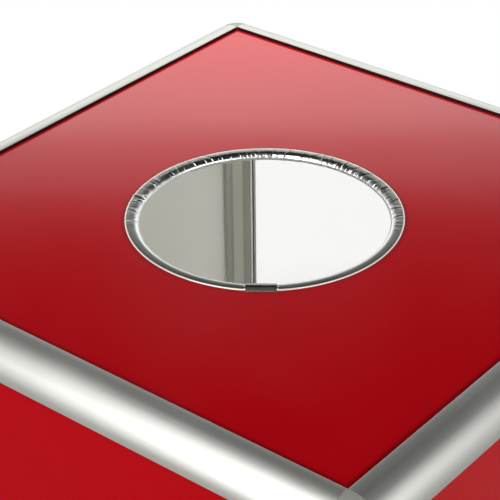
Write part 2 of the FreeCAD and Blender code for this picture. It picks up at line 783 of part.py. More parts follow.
def set_group(name, master, x, height_in):
    """Copies of a small part at the four screws of the two leaves on one side of the pins."""
    turn = FreeCAD.Rotation(*(FreeCAD.Vector(*axis) for axis in REAR_AXES), "ZXY")
    copies = []
    for middle in HINGE_MIDDLES:
        for rise in screw_heights():
            spot = (x, f"{REAR_FACE} - {height_in}", f"{DOOR_MIDDLE} + {middle} + {rise}")
            copy = master.Shape.copy()
            copy.Placement = FreeCAD.Placement(FreeCAD.Vector(*map(number, spot)), turn)
            copies.append(copy)
    group_of(name, copies)


screw = make_screw()
nut = make_nut()
for word, side in (("frame", -1), ("door", 1)):
    screw_x = f"{HINGE_X} + {side} * screw_inset"
    set_group(f"hinge_{word}_screws", screw, screw_x, f"(-{PLATE_OUT})")
    set_group(f"hinge_{word}_nuts", nut, screw_x, "panel_thickness")


# Cam lock, from the front flange to the washer screw. At rest it is open and its cam hangs down.

BARREL_END = "(lock_barrel_length)"
CAM_NEAR = f"({BARREL_END} + cam_float)"
CAM_FAR = f"({CAM_NEAR} + cam_thickness)"
TAIL_END = f"({CAM_FAR} - cam_float)"
TIP_NEAR = "(panel_thickness + cam_play)"


def make_lock_barrel():
    """The barrel with its domed flange, two flats, and the stepped bore for the plug."""
    body = new_body("lock_barrel")
    flange = new_sketch(body, "lock_flange")
    draw_circle(flange, "lock_flange_radius")
    disc = pad(body, flange, "lock_flange_height", backwards=True)
    rim = circles_at(-number("lock_flange_height"), number("lock_flange_radius"))
    chamfer(body, disc, "lock_flange_bevel", rim)
    barrel = new_sketch(body, "lock_barrel_outline")
    draw_two_flats(barrel, "lock_barrel_radius", "lock_barrel_flats")
    pad(body, barrel, BARREL_END)
    bore = new_sketch(body, "lock_bore")
    draw_circle(bore, "plug_radius + plug_clearance")
    pocket(body, bore, both_ways=True)
    seat = new_sketch(body, "lock_rim_seat", height="-lock_flange_height")
    draw_circle(seat, "plug_rim_radius + plug_clearance")
    pocket(body, seat, "plug_rim_height + plug_clearance", backwards=True)
    place_rear(body, LOCK_X)


def make_lock_plug():
    """The part that the key turns: rim, barrel with a key slot, and square tail with a thread bore."""
    body = new_body("lock_plug")
    rim = new_sketch(body, "plug_rim", height="-lock_flange_height")
    draw_circle(rim, "plug_rim_radius")
    disc = pad(body, rim, "plug_rim_height")
    edge = circles_at(-number("lock_flange_height"), number("plug_rim_radius"))
    chamfer(body, disc, "plug_rim_height / 4", edge)
    core = new_sketch(body, "plug_core", height="-lock_flange_height")
    draw_circle(core, "plug_radius")
    pad(body, core, f"lock_flange_height + {BARREL_END}")
    tail = new_sketch(body, "plug_tail", height=BARREL_END)
    draw_rectangle(tail, "-tail_side / 2", "-tail_side / 2", "tail_side / 2", "tail_side / 2")
    pad(body, tail, f"{TAIL_END} - {BARREL_END}")
    keyway = new_sketch(body, "keyway", height="-lock_flange_height")
    x, y = "keyway_width / 2", "keyway_length / 2"
    draw_rectangle(keyway, f"-{x}", f"-{y}", x, y)
    pocket(body, keyway, "keyway_depth", backwards=True)
    thread = new_sketch(body, "plug_thread", height=TAIL_END)
    draw_circle(thread, "cam_screw_radius + plug_clearance")
    pocket(body, thread, "cam_screw_length")
    place_rear(body, LOCK_X)


def make_lock_nut():
    body = new_body("lock_nut")
    outline = new_sketch(body, "lock_nut_outline", height="panel_thickness")
    draw_hexagon(outline, "lock_nut_flats")
    draw_circle(outline, "lock_barrel_radius + plug_clearance")
    pad(body, outline, "lock_nut_height")
    place_rear(body, LOCK_X)


def make_lock_cam():
    """A flat plate, cranked towards the panel, with a square hole and a round tip."""
    body = new_body("lock_cam")
    profile = new_sketch(body, "cam_profile", "YZ_Plane")
    half = "(cam_width / 2)"
    bend_end = "(cam_bend_start + cam_bend_length)"
    draw_outline(profile, [
        (half, CAM_NEAR),
        (half, CAM_FAR),
        ("-cam_bend_start", CAM_FAR),
        (f"-{bend_end}", f"{TIP_NEAR} + cam_thickness"),
        ("-cam_reach", f"{TIP_NEAR} + cam_thickness"),
        ("-cam_reach", TIP_NEAR),
        (f"-{bend_end}", TIP_NEAR),
        ("-cam_bend_start", CAM_NEAR),
    ][::-1])
    plate = pad(body, profile, "cam_width", both_ways=True)
    ends = upright_edges_at("y", [number(half), -number("cam_reach")])
    fillet(body, plate, f"{half} - cam_thickness / 2", ends)
    square = new_sketch(body, "cam_square", height=CAM_NEAR)
    side = "(tail_side / 2 + tail_clearance)"
    draw_rectangle(square, f"-{side}", f"-{side}", side, side)
    pocket(body, square, backwards=True)
    place_rear(body, LOCK_X)


def make_cam_washer():
    body = new_body("cam_washer")
    ring = new_sketch(body, "washer_ring", height=CAM_FAR)
    draw_circle(ring, "washer_radius")
    draw_circle(ring, "cam_screw_radius + plug_clearance")
    pad(body, ring, "washer_height")
    place_rear(body, LOCK_X)


def make_cam_screw():
    """A low round-headed screw into the tail of the plug."""
    body = new_body("cam_screw")
    under = f"({CAM_FAR} + washer_height)"
    section = new_sketch(body, "cam_screw_section", "XZ_Plane")
    low = f"({under} - cam_screw_length + washer_height)"
    crown = f"({under} + cam_screw_head_height)"
    bevel = "(cam_screw_head_height / 2)"
    draw_outline(section, [
        ("0", low),
        ("cam_screw_radius", low),
        ("cam_screw_radius", under),
        ("cam_screw_head_radius", under),
        ("cam_screw_head_radius", f"{crown} - {bevel}"),
        (f"cam_screw_head_radius - {bevel}", crown),
        ("0", crown),
    ])
    revolve(body, section)
    slot = new_sketch(body, "cam_screw_slot", height=crown)
    half_long, half_wide = "cam_screw_head_radius", "cam_screw_slot / 2"
    draw_rectangle(slot, f"-{half_long}", f"-{half_wide}", half_long, half_wide)
    pocket(body, slot, "cam_screw_head_height / 2")
    place_rear(body, LOCK_X)


make_lock_barrel()
make_lock_plug()
make_lock_nut()
make_lock_cam()
make_cam_washer()
make_cam_screw()


# Rubber feet under the bottom panel

def make_foot(name, side_x, side_y):
    body = new_body(name)
    section = new_sketch(body, f"{name}_section", "XZ_Plane")
    draw_outline(section, [
        ("0", "0"),
        ("foot_bottom_radius", "0"),
        ("foot_top_radius", "foot_height"),
        ("0", "foot_height"),
    ])
    revolve(body, section)
    spots = (f"{side_x} * ({HALF[0]} - foot_inset)", f"{side_y} * ({HALF[1]} - foot_inset)", "0")
    place(body, spots)


for side, sx in SIDES_X.items():
    for depth_side, sy in SIDES_Y.items():
        make_foot(f"{depth_side}_{side}_foot", sx, sy)


# Checks and files

doc.recompute()
for thing in doc.Objects:
    if "Invalid" in thing.State or "Error" in thing.State:
        raise RuntimeError(f"{thing.Label} is not valid: {thing.State}")
os.makedirs("parts", exist_ok=True)
for piece in pieces:
    if piece.Shape.isNull() or not piece.Shape.isValid():
        raise RuntimeError(f"{piece.Label} has no valid shape")
    piece.Shape.exportStep(f"parts/{piece.Label}.step")
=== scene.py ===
import json
import math

import bmesh
import bpy
import numpy as np
from bpy.props import FloatProperty, FloatVectorProperty, IntProperty
from mathutils import Matrix, Vector
from mathutils.geometry import tessellate_polygon


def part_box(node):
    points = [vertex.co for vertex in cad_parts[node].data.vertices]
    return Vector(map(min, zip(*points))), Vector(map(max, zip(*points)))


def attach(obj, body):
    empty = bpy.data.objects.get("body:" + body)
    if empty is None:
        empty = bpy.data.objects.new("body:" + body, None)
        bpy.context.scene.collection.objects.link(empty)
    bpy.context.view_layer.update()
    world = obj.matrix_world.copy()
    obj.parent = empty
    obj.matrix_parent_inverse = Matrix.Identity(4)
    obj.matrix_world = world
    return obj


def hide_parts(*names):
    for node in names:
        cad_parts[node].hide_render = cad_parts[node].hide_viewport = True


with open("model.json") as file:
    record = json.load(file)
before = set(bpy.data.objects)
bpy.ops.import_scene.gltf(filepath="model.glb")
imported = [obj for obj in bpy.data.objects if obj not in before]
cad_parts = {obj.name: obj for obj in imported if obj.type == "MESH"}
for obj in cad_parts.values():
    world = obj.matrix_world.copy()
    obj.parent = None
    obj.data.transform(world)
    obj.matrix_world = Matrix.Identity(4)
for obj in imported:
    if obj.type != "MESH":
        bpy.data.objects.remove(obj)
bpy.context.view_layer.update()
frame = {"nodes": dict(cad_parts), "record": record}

bl_info = {
    "name": "Raffle box",
    "version": (1, 0, 0),
    "blender": (4, 5, 0),
    "location": "View3D > Sidebar > Raffle box",
    "description": "Raffle box with aluminium edges",
    "category": "Add Mesh",
}

MM = 0.001
X, Y, Z = np.eye(3)

# The frame's pieces, by what they are

NODES = sorted(frame["nodes"])
RAILS = [node for node in NODES if node.endswith(("_rail", "_post"))]
CORNERS = [node for node in NODES if node.endswith("_corner")]
FEET = [node for node in NODES if node.endswith("_foot")]
WALLS = ["front_panel", "left_panel", "bottom_panel"]
CLEAR_SHEETS = ["back_panel", "door_leaf", "lower_door_stop", "upper_door_stop"]
HINGE_SCREWS = ["hinge_frame_screws", "hinge_door_screws"]
HINGES = [node for node in NODES if "hinge" in node and node not in HINGE_SCREWS]
LOCK_BRIGHT = ["lock_barrel", "lock_plug", "lock_nut"]
LOCK_ZINC = ["lock_cam", "cam_washer", "cam_screw"]

BODY_OF = {node: body for body, nodes in frame["record"]["behaviour"]["bodies"].items() for node in nodes}


# Places and sizes that the frame gives

def box_of(node):
    """Lowest and highest corner of a node."""
    return np.array(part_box(node))


def middle_of(node):
    return sum(box_of(node)) / 2


BOX_MIDDLE = (middle_of("top_front_left_corner") + middle_of("bottom_back_right_corner")) / 2
RAIL_WIDTH = np.ptp(box_of("top_front_rail"), axis=0)[1]
TRIM_MIDDLE = middle_of("hole_trim")
TRIM_RADIUS, _, TRIM_RISE = np.ptp(box_of("hole_trim"), axis=0) / 2


# Sizes, colours and studio values that a user would change

def size(name, description, millimetres):
    default = millimetres * MM
    return FloatProperty(name=name, description=description, default=default, unit="LENGTH", precision=5)


def angle(name, description, degrees):
    default = math.radians(degrees)
    return FloatProperty(name=name, description=description, default=default, subtype="ANGLE")


def colour(name, description, *default):
    return FloatVectorProperty(name=name, description=description, default=default, subtype="COLOR",
                               min=0, max=1)


class RaffleBoxSizes(bpy.types.PropertyGroup):
    """Sizes of the pieces that are built here"""
    rail_width: size("Rail width", "Outer corner to the edge of a lip", RAIL_WIDTH / MM)
    lip_flat: size("Lip flat", "Flat along a lip, before the round", 1.4)
    lip: size("Outer lip", "Lip over a panel", 1.4)
    inner_lip: size("Inner lip", "Lip behind a panel", 1.8)
    slot: size("Slot", "Width of the slot for a panel", 3.2)
    slot_depth: size("Slot depth", "Lip edge to the bottom of the slot", 4.5)
    facet: size("Facet", "Leg of the slant in the inside corner", 3.8)
    rail_wall: size("Rail wall", "Wall round the chamber", 1.2)
    chamber_bevel: size("Chamber bevel", "Least bevel of its inner corner", 1.0)
    undercut: size("Undercut", "Lean of an outer lip's edge", 0.35)
    edge_round: size("Rail edges", "Rounding of the drawn edges", 0.2)
    trim_nose: size("Trim nose", "Width of the trim's solid nose", 2.05)
    nose_round: size("Nose round", "Length of its round from above", 3.2)
    trim_roll: size("Trim roll", "Width of the round along the rim", 0.3)
    trim_slope: size("Trim slope", "Width of the slope along the rim", 0.9)
    slope_angle: angle("Slope angle", "How steeply it slopes down", 7.5)
    trim_flange: size("Trim flange", "Thickness of the flanges", 0.5)
    trim_inner: size("Trim inside", "Radius of the trim's innermost line", 54.1)
    trim_gap: size("Trim gap", "Gap between the ends of the trim", 0.8)
    joint_angle: angle("Trim joint", "Direction of the joint from the hole", -52.8)
    creases: IntProperty(name="Creases", description="Creases, if they went all round", default=200, min=1)
    crease_width: size("Crease width", "Mean half width of a crease", 0.13)
    crease_depth: size("Crease depth", "Mean depth of a crease", 0.085)
    buckle: size("Buckle", "Most swell between creases", 0.08)
    burr: size("Burr", "Radius of the burrs beside the clip", 0.5)
    clip_length: size("Clip length", "Clip along the trim", 12.6)
    clip_wall: size("Clip wall", "Sheet of the clip", 0.25)
    clip_step: size("Clip step", "Height of its step", 0.3)
    clip_ridge: size("Clip ridge", "Axis of the hole to the top of the step", 57.4)
    foot_round: size("Foot edge", "Rounding of a foot's lower edge", 0.9)
    screw_head: size("Screw head", "Radius of a hinge screw's head", 2.45)
    screw_shank: size("Screw shank", "Radius of its shank", 1.25)
    screw_rise: size("Screw rise", "Middle of a hinge leaf to its screws", 9.0)
    recess_arm: size("Recess arm", "Middle of a screw to the end of its cross", 1.5)
    recess_width: size("Recess width", "Half width of the cross", 0.36)
    recess_depth: size("Recess depth", "Its depth", 0.8)


class RaffleBoxColours(bpy.types.PropertyGroup):
    """Colours of the finishes"""
    red: colour("Red", "Outside of the coloured walls", 0.38, 0.0010, 0.0045)
    inside: colour("Inside", "Inside of the coloured walls", 0.80, 0.80, 0.76)
    aluminium: colour("Aluminium", "Anodised edge rails", 0.83, 0.835, 0.79)
    # Painted shade for the edges of the level rails' outer lips; the posts' lip edges get a pale colour in
    # its place
    seam: colour("Seam", "Edges of the level rails' outer lips", 0.10, 0.075, 0.07)
    post_lip_edge_shade: colour("Post seam", "Edges of the posts' outer lips", 0.85, 0.85, 0.82)
    corner: colour("Corner", "Moulded ball corners", 0.235, 0.24, 0.213)
    clear: colour("Clear sheet", "Tint of the clear sheet", 0.985, 0.98, 0.965)
    chrome: colour("Chrome", "Bright trim and lock", 0.86, 0.87, 0.86)
    # Darker colour of the trim's flat
    flange: colour("Flange", "Tarnished flat of the trim", 0.45, 0.46, 0.43)
    # Near white colour along the trim's rim: a painted highlight
    rim: colour("Rim", "Worn rim of the trim", 0.90, 0.85, 0.77)
    clip: colour("Clip", "Dull clip on the trim", 0.42, 0.38, 0.33)
    zinc: colour("Zinc", "Hinges, screws and cam", 0.66, 0.66, 0.65)
    rubber: colour("Rubber", "Feet", 0.022, 0.022, 0.023)
    floor: colour("Floor", "Floor near the box", 0.86, 0.86, 0.85)
    floor_bounce: colour("Floor bounce", "Floor as it lights the box", 0.27, 0.27, 0.265)


class RaffleBoxStudio(bpy.types.PropertyGroup):
    """Camera, lamps and surroundings"""
    azimuth: angle("Azimuth", "Camera to the right of the front", 39.2931)
    elevation: angle("Elevation", "Camera above the target", 31.5287)
    roll: angle("Roll", "Turn about the line of sight", 0.6839)
    distance: size("Distance", "Camera to target", 755.1)
    target: FloatVectorProperty(name="Target", description="Point in the middle of the picture",
                                default=(0.01013, -0.03382, 0.3035), subtype="XYZ", unit="LENGTH")
    lens: FloatProperty(name="Lens", description="Focal length, on a sensor 36 wide", default=131.04)
    horizon: FloatProperty(name="Horizon", description="Brightness of the surroundings", default=0.38)
    horizon_top: angle("Horizon top", "Elevation at which they start to fade", 27.0)
    horizon_end: angle("Horizon end", "Elevation from which they are dark", 32.0)
    fade_start: size("Fade start", "Where the floor starts to turn white", 300)
    fade_end: size("Fade end", "Where it is white", 460)


# Surfaces from arrays

def unit(vectors):
    """Vectors made one long."""
    return vectors / np.linalg.norm(vectors, axis=-1, keepdims=True)


def soft_step(value):
    """0 below 0, 1 above 1, and 3 t^2 - 2 t^3 between."""
    value = np.clip(value, 0, 1)
    return value * value * (3 - 2 * value)


def rounded(corners, radii, steps):
    """A closed anticlockwise outline with arcs for its corners. With h as half the angle of a corner,
    its arc has its middle on the bisector at radius / sin(h), and ends at the normals of both legs."""
    corners = np.asarray(corners, float)
    before = unit(np.roll(corners, 1, axis=0) - corners)
    after = unit(np.roll(corners, -1, axis=0) - corners)
    points = []
    for corner, back, ahead, radius, step in zip(corners, before, after, radii, steps):
        half = math.acos(np.clip(back @ ahead, -1, 1)) / 2
        side = np.sign(back[1] * ahead[0] - back[0] * ahead[1])
        middle = corner + unit(back + ahead) * radius / math.sin(half)
        turn = math.atan2(back[0], -back[1]) + side * np.linspace(0, math.pi - 2 * half, step + 1)
        points.append(middle + side * radius * np.stack((np.cos(turn), np.sin(turn)), axis=1))
    return np.concatenate(points)


def arc(middle, across, up, start, end, steps):
    """Points of an ellipse's arc: middle + (across cos t, up sin t), with t in degrees."""
    turn = np.radians(np.linspace(start, end, steps + 1))
    return np.asarray(middle) + np.stack((across * np.cos(turn), up * np.sin(turn)), axis=1)


def refined(points, longest):
    """The closed outline with every stretch longer than a length divided evenly."""
    ends = np.roll(points, -1, axis=0)
    parts = np.maximum(np.ceil(np.linalg.norm(ends - points, axis=1) / longest), 1).astype(int)
    start = np.repeat(np.arange(len(points)), parts)
    share = (np.arange(parts.sum()) - np.repeat(np.cumsum(parts) - parts, parts)) / parts[start]
    return points[start] + share[:, None] * (ends - points)[start]


def right_of(line):
    """Normals on the right of a line: square to the way from the point before to the point after."""
    along = np.gradient(line, axis=0)
    return unit(np.stack((along[:, 1], -along[:, 0]), axis=1))


def carried(profile, origins, across, up):
    """A profile carried along a path: origin + across * a + up * b at each of its stations. Faces point
    outwards for an anticlockwise profile if across x up points along the path."""
    origins, across, up = (np.atleast_2d(vectors)[:, None] for vectors in (origins, across, up))
    return origins + across * profile[..., :1] + up * profile[..., 1:]


def turned(profile, middle, axis, turns=64):
    """A profile of (radius, height) turned about an axis: middle + radius * (u cos t + w sin t) +
    axis * height, with u square to the axis and w = u x axis."""
    first = unit(np.roll(axis, 1))
    turn = np.linspace(0, 2 * math.pi, turns, endpoint=False)[:, None]
    return carried(profile, middle, first * np.cos(turn) + np.cross(first, axis) * np.sin(turn), axis)


def distances(line, closed):
    """How far along a line its points lie, and the way back to the first if it is closed."""
    line = np.concatenate((line, line[:1])) if closed else line
    steps = np.linalg.norm(np.diff(line, axis=0), axis=1)
    return np.concatenate(([0.0], np.cumsum(steps)))


class Shape:
    """Points, faces and surface coordinates of one piece, gathered from grids and caps."""

    def __init__(self):
        self.points = np.zeros((0, 3))
        self.faces = []
        self.places = []

    def grid(self, points, close_rows=False, close_columns=False):
        """Quads over a grid of points. The surface coordinates are distances across and along it.
        Returns the numbers of its points."""
        rows, columns = points.shape[:2]
        numbers = len(self.points) + np.arange(rows * columns).reshape(rows, columns)
        self.points = np.concatenate((self.points, points.reshape(-1, 3)))
        i, j = np.indices((rows - (not close_rows), columns - (not close_columns))).reshape(2, -1, 1)
        i, j = i + [0, 0, 1, 1], j + [0, 1, 1, 0]
        self.faces += numbers[i % rows, j % columns].tolist()
        across = distances(points[rows // 2], close_columns)
        along = distances(points[:, columns // 2], close_rows)
        self.places.append(np.stack((across[j], along[i]), axis=-1).reshape(-1, 2))
        return numbers

    def cap(self, loops, direction):
        """Triangles over a flat outline, with a hole for each further loop, that face a direction."""
        lines = [[Vector(self.points[n]) for n in loop] for loop in loops]
        faces = np.concatenate(loops)[np.array(tessellate_polygon(lines))]
        first, second, third = self.points[faces.T]
        facing = np.cross(second - first, third - first).sum(axis=0) @ direction
        self.faces += (faces if facing > 0 else faces[:, ::-1]).tolist()
        self.places.append(np.zeros((faces.size, 2)))


def new_piece(name, shape, material, node, bevel=0.0):
    """The shape as a finished piece that stands for a node and rides on its body."""
    mesh = bpy.data.meshes.new(name)
    mesh.from_pydata(shape.points.tolist(), [], shape.faces)
    layer = mesh.uv_layers.new(name="Surface")
    layer.data.foreach_set("uv", np.concatenate(shape.places).astype(np.float32).ravel())
    work = bmesh.new()
    work.from_mesh(mesh)
    bmesh.ops.remove_doubles(work, verts=work.verts, dist=1e-7)
    work.to_mesh(mesh)
    work.free()
    mesh.shade_smooth()
    mesh.set_sharp_from_angle(angle=math.radians(38))
    mesh.materials.append(material)
    piece = bpy.data.objects.new(name, mesh)
    bpy.context.scene.collection.objects.link(piece)
    if bevel:
        edge = piece.modifiers.new("edges", "BEVEL")
        edge.width, edge.segments, edge.angle_limit = bevel, 2, math.radians(50)
    piece.modifiers.new("even_shading", "WEIGHTED_NORMAL").keep_sharp = True
    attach(piece, BODY_OF[node])
    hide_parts(node)


def finish_nodes(nodes, material):
    """Gives nodes of the frame their finish."""
    for node in nodes:
        materials = frame["nodes"][node].data.materials
        materials.clear()
        materials.append(material)


# Parts of shaders

def set_input(node, key, value):
    """Links a socket to an input of a node, or sets the input to a value. Colours are opaque."""
    socket = node.inputs[key]
    if isinstance(value, bpy.types.NodeSocket):
        node.id_data.links.new(value, socket)
    else:
        socket.default_value = (*value, 1.0) if socket.type == "RGBA" else value


def add_node(tree, kind, inputs=None, **settings):
    """A shader node with its settings and inputs."""
    node = tree.nodes.new(f"ShaderNode{kind}")
    for key, value in settings.items():
        setattr(node, key, value)
    for key, value in (inputs or {}).items():
        set_input(node, key, value)
    return node


def calculate(tree, operation, first, second=0.0, third=0.0):
    """The result of a Math node."""
    return add_node(tree, "Math", {0: first, 1: second, 2: third}, operation=operation).outputs[0]


def vector_math(tree, operation, first, second=(0, 0, 0)):
    """The results of a Vector Math node: a vector, then a number."""
    return add_node(tree, "VectorMath", {0: first, 1: second}, operation=operation).outputs


def parts_of(tree, vector):
    """The three parts of a vector."""
    return add_node(tree, "SeparateXYZ", {0: vector}).outputs


def ramp(tree, value, low, high, to_low=0.0, to_high=1.0, kind="LINEAR"):
    """A value carried from one range to another and kept in it."""
    inputs = {"Value": value, "From Min": low, "From Max": high, "To Min": to_low, "To Max": to_high}
    return add_node(tree, "MapRange", inputs, interpolation_type=kind).outputs["Result"]


def band(tree, value, rise, fall):
    """A mask that rises from 0 to 1 over one range of a value, and falls back over another."""
    return calculate(tree, "MINIMUM", ramp(tree, value, *rise), ramp(tree, value, *fall, 1.0, 0.0))


def around(middle, reach):
    return middle - reach, middle + reach


def noise(tree, place, scale, detail=2.0, distortion=0.0):
    """Smooth noise round 0.5."""
    inputs = {"Vector": place, "Scale": scale, "Detail": detail, "Distortion": distortion}
    return add_node(tree, "TexNoise", inputs).outputs[0]


def mixed(tree, factor, first, second):
    """One of two colours, or a mix of them."""
    return add_node(tree, "Mix", {0: factor, 6: first, 7: second}, data_type="RGBA").outputs[2]


def shaded(base, share):
    """A colour made darker or lighter."""
    return tuple(share * value for value in base)


def place_on(tree, kind="Object"):
    """Texture coordinates: Object, or UV for the distances across and along a piece."""
    return add_node(tree, "TexCoord").outputs[kind]


def new_material(name, base, **constants):
    """A material, its tree, and its Principled shader, which holds the constants."""
    material = bpy.data.materials.new(name)
    material.use_nodes = True
    tree = material.node_tree
    shader = tree.nodes["Principled BSDF"]
    for key, value in {"Base_Color": base, **constants}.items():
        set_input(shader, key.replace("_", " "), value)
    return material, tree, shader


def set_relief(shader, height, depth, edge=0.0):
    """Fine relief of a depth in metres, and edges that shine as if rounded by a radius."""
    tree, inputs = shader.id_data, {"Height": height, "Distance": depth}
    if edge:
        inputs["Normal"] = add_node(tree, "Bevel", {"Radius": edge}, samples=6).outputs[0]
    set_input(shader, "Normal", add_node(tree, "Bump", inputs).outputs[0])


def show_both(tree, factor, shader, other):
    """Shows a mix of a material's shader and another."""
    inputs = {0: factor, 1: shader.outputs[0], 2: other.outputs[0]}
    both = add_node(tree, "MixShader", inputs).outputs[0]
    set_input(tree.nodes["Material Output"], "Surface", both)


def either_ray(tree, first, second):
    """1 for rays of either kind."""
    path = add_node(tree, "LightPath").outputs
    return calculate(tree, "MAXIMUM", path[f"Is {first} Ray"], path[f"Is {second} Ray"])


def new_group(name, numbers, results):
    """An empty shader group that takes a vector and numbers, and puts out numbers."""
    group = bpy.data.node_groups.new(name, "ShaderNodeTree")
    group.interface.new_socket("Vector", in_out="INPUT", socket_type="NodeSocketVector")
    for keys, way in ((numbers, "INPUT"), (results, "OUTPUT")):
        for key in keys:
            group.interface.new_socket(key, in_out=way, socket_type="NodeSocketFloat")
    given = list(group.nodes.new("NodeGroupInput").outputs)[:len(numbers) + 1]
    return group, given, group.nodes.new("NodeGroupOutput")


def drawn_lines(name):
    """Fine lines along the second axis of a vector, as drawn and brushed metal has them."""
    group, (vector, lines, stretch), made = new_group(name, ["Lines", "Stretch"], ["Height", "Mask"])
    along = calculate(group, "MULTIPLY", lines, stretch)
    factors = add_node(group, "CombineXYZ", {0: lines, 1: along, 2: lines}).outputs[0]
    place = vector_math(group, "MULTIPLY", vector, factors)[0]
    fine = calculate(group, "MULTIPLY", noise(group, place, 1.0, 3.0), 0.5)
    height = calculate(group, "MULTIPLY_ADD", noise(group, place, 0.13, 1.0), 0.5, fine)
    set_input(made, "Height", height)
    set_input(made, "Mask", ramp(group, height, 0.35, 0.65))
    return group


def handling_marks(name):
    """Faint smears and specks, 0 where a surface is clean and 1 where it is marked."""
    group, (vector, scale), made = new_group(name, ["Scale"], ["Mask"])
    smear = noise(group, vector, scale, 4.0, 0.6)
    speck = noise(group, vector, calculate(group, "MULTIPLY", scale, 11.0))
    smears = ramp(group, smear, 0.45, 0.75)
    specks = ramp(group, speck, 0.6, 0.8, 0.0, 0.5)
    set_input(made, "Mask", calculate(group, "MAXIMUM", smears, specks))
    return group


def moulded_grain(name):
    """The even pebbled grain of a moulded surface."""
    group, (vector, scale), made = new_group(name, ["Scale"], ["Height"])
    inputs = {"Vector": vector, "Scale": scale}
    cells = add_node(group, "TexVoronoi", inputs, feature="SMOOTH_F1").outputs["Distance"]
    height = calculate(group, "MULTIPLY_ADD", cells, 0.6, noise(group, vector, scale))
    set_input(made, "Height", height)
    return group


def use_group(tree, make, **inputs):
    """The outputs of a shared effect, which is built when it is first used."""
    group = bpy.data.node_groups.get(make.__name__) or make(make.__name__)
    return add_node(tree, "Group", inputs, node_tree=group).outputs


def marks_on(tree, scale):
    """The mask of the handling marks."""
    return use_group(tree, handling_marks, Vector=place_on(tree), Scale=scale)["Mask"]


# Finishes

def anodised_aluminium(name, colours, sizes, perimeter, seam):
    """Satin anodised extrusion with faint die lines along it. The edges of its outer lips get the lip edge
    shade
    colour, and its inner lips are darker: painted shade. From either end of its big round come the flat of a
    lip, the lip's edge, three sides of the slot, the edge of the inner lip and its inner face."""
    material, tree, shader = new_material(name, colours.aluminium, Metallic=1.0)
    surface = place_on(tree, "UV")
    across = parts_of(tree, surface)[0]
    bend = math.pi / 2 * (sizes.rail_width - sizes.lip_flat)
    along = calculate(tree, "MINIMUM", calculate(tree, "SUBTRACT", across, bend),
                      calculate(tree, "SUBTRACT", perimeter, across))
    slot = sizes.lip_flat + sizes.lip
    lip = slot + 2 * sizes.slot_depth + sizes.slot
    face = around(lip + sizes.inner_lip, 0.2 * MM)
    facet = (perimeter - bend - math.sqrt(2) * sizes.facet) / 2
    # Painted shade: the outer lips' edges take the lip edge shade colour, and the inner lip's edge and inner
    # face are darkened
    edge = band(tree, along, around(sizes.lip_flat, 0.1 * MM), around(slot + 1.5 * MM, 0.5 * MM))
    inner = band(tree, along, face, (facet - 0.3 * MM, facet))
    inner_lip_edge_shade = band(tree, along, (lip - 0.3 * MM, lip), face)
    metal = mixed(tree, inner, colours.aluminium, shaded(colours.aluminium, 0.8))
    metal = mixed(tree, inner_lip_edge_shade, metal, shaded(colours.aluminium, 0.62))
    set_input(shader, "Base Color", mixed(tree, edge, metal, seam))
    lines = use_group(tree, drawn_lines, Vector=surface, Lines=3200.0, Stretch=0.006)
    streaks = ramp(tree, lines["Mask"], 0.0, 1.0, 0.41, 0.45)
    set_input(shader, "Roughness", calculate(tree, "MULTIPLY_ADD", marks_on(tree, 26.0), 0.03, streaks))
    set_relief(shader, lines["Height"], 0.004 * MM)
    return material


def corner_plastic(colours):
    """Grey moulded plastic with a fine grain."""
    material, tree, shader = new_material("corner_plastic", colours.corner)
    marks = marks_on(tree, 60.0)
    set_input(shader, "Base Color", mixed(tree, marks, colours.corner, shaded(colours.corner, 0.9)))
    set_input(shader, "Roughness", ramp(tree, marks, 0.0, 1.0, 0.52, 0.44))
    grain = use_group(tree, moulded_grain, Vector=place_on(tree), Scale=2200.0)["Height"]
    set_relief(shader, grain, 0.02 * MM, edge=0.2 * MM)
    return material


def wall_places(tree, place):
    """Where a point of a wall lies, by its distances from the box's middle along x, y and z: 1 on the
    outer face, by the largest; the second largest, which grows towards the nearest rail; and a number
    that grows towards the right or front rail."""
    apart = vector_math(tree, "SUBTRACT", place, BOX_MIDDLE)[0]
    to_right, to_back, _ = parts_of(tree, apart)
    x, y, z = parts_of(tree, vector_math(tree, "ABSOLUTE", apart)[0])
    larger, smaller = (calculate(tree, kind, x, y) for kind in ("MAXIMUM", "MINIMUM"))
    largest = calculate(tree, "MAXIMUM", larger, z)
    second = calculate(tree, "MAXIMUM", smaller, calculate(tree, "MINIMUM", larger, z))
    sheet_middle = middle_of("top_panel")[2] - BOX_MIDDLE[2]
    near = calculate(tree, "MAXIMUM", to_right, calculate(tree, "MULTIPLY", to_back, -1.0))
    return calculate(tree, "GREATER_THAN", largest, sheet_middle), second, near


def trim_distance(tree):
    """How far a point is from the axis of the hand hole."""
    flat = vector_math(tree, "MULTIPLY", place_on(tree), X + Y)[0]
    return vector_math(tree, "DISTANCE", flat, TRIM_MIDDLE * (X + Y))[1]


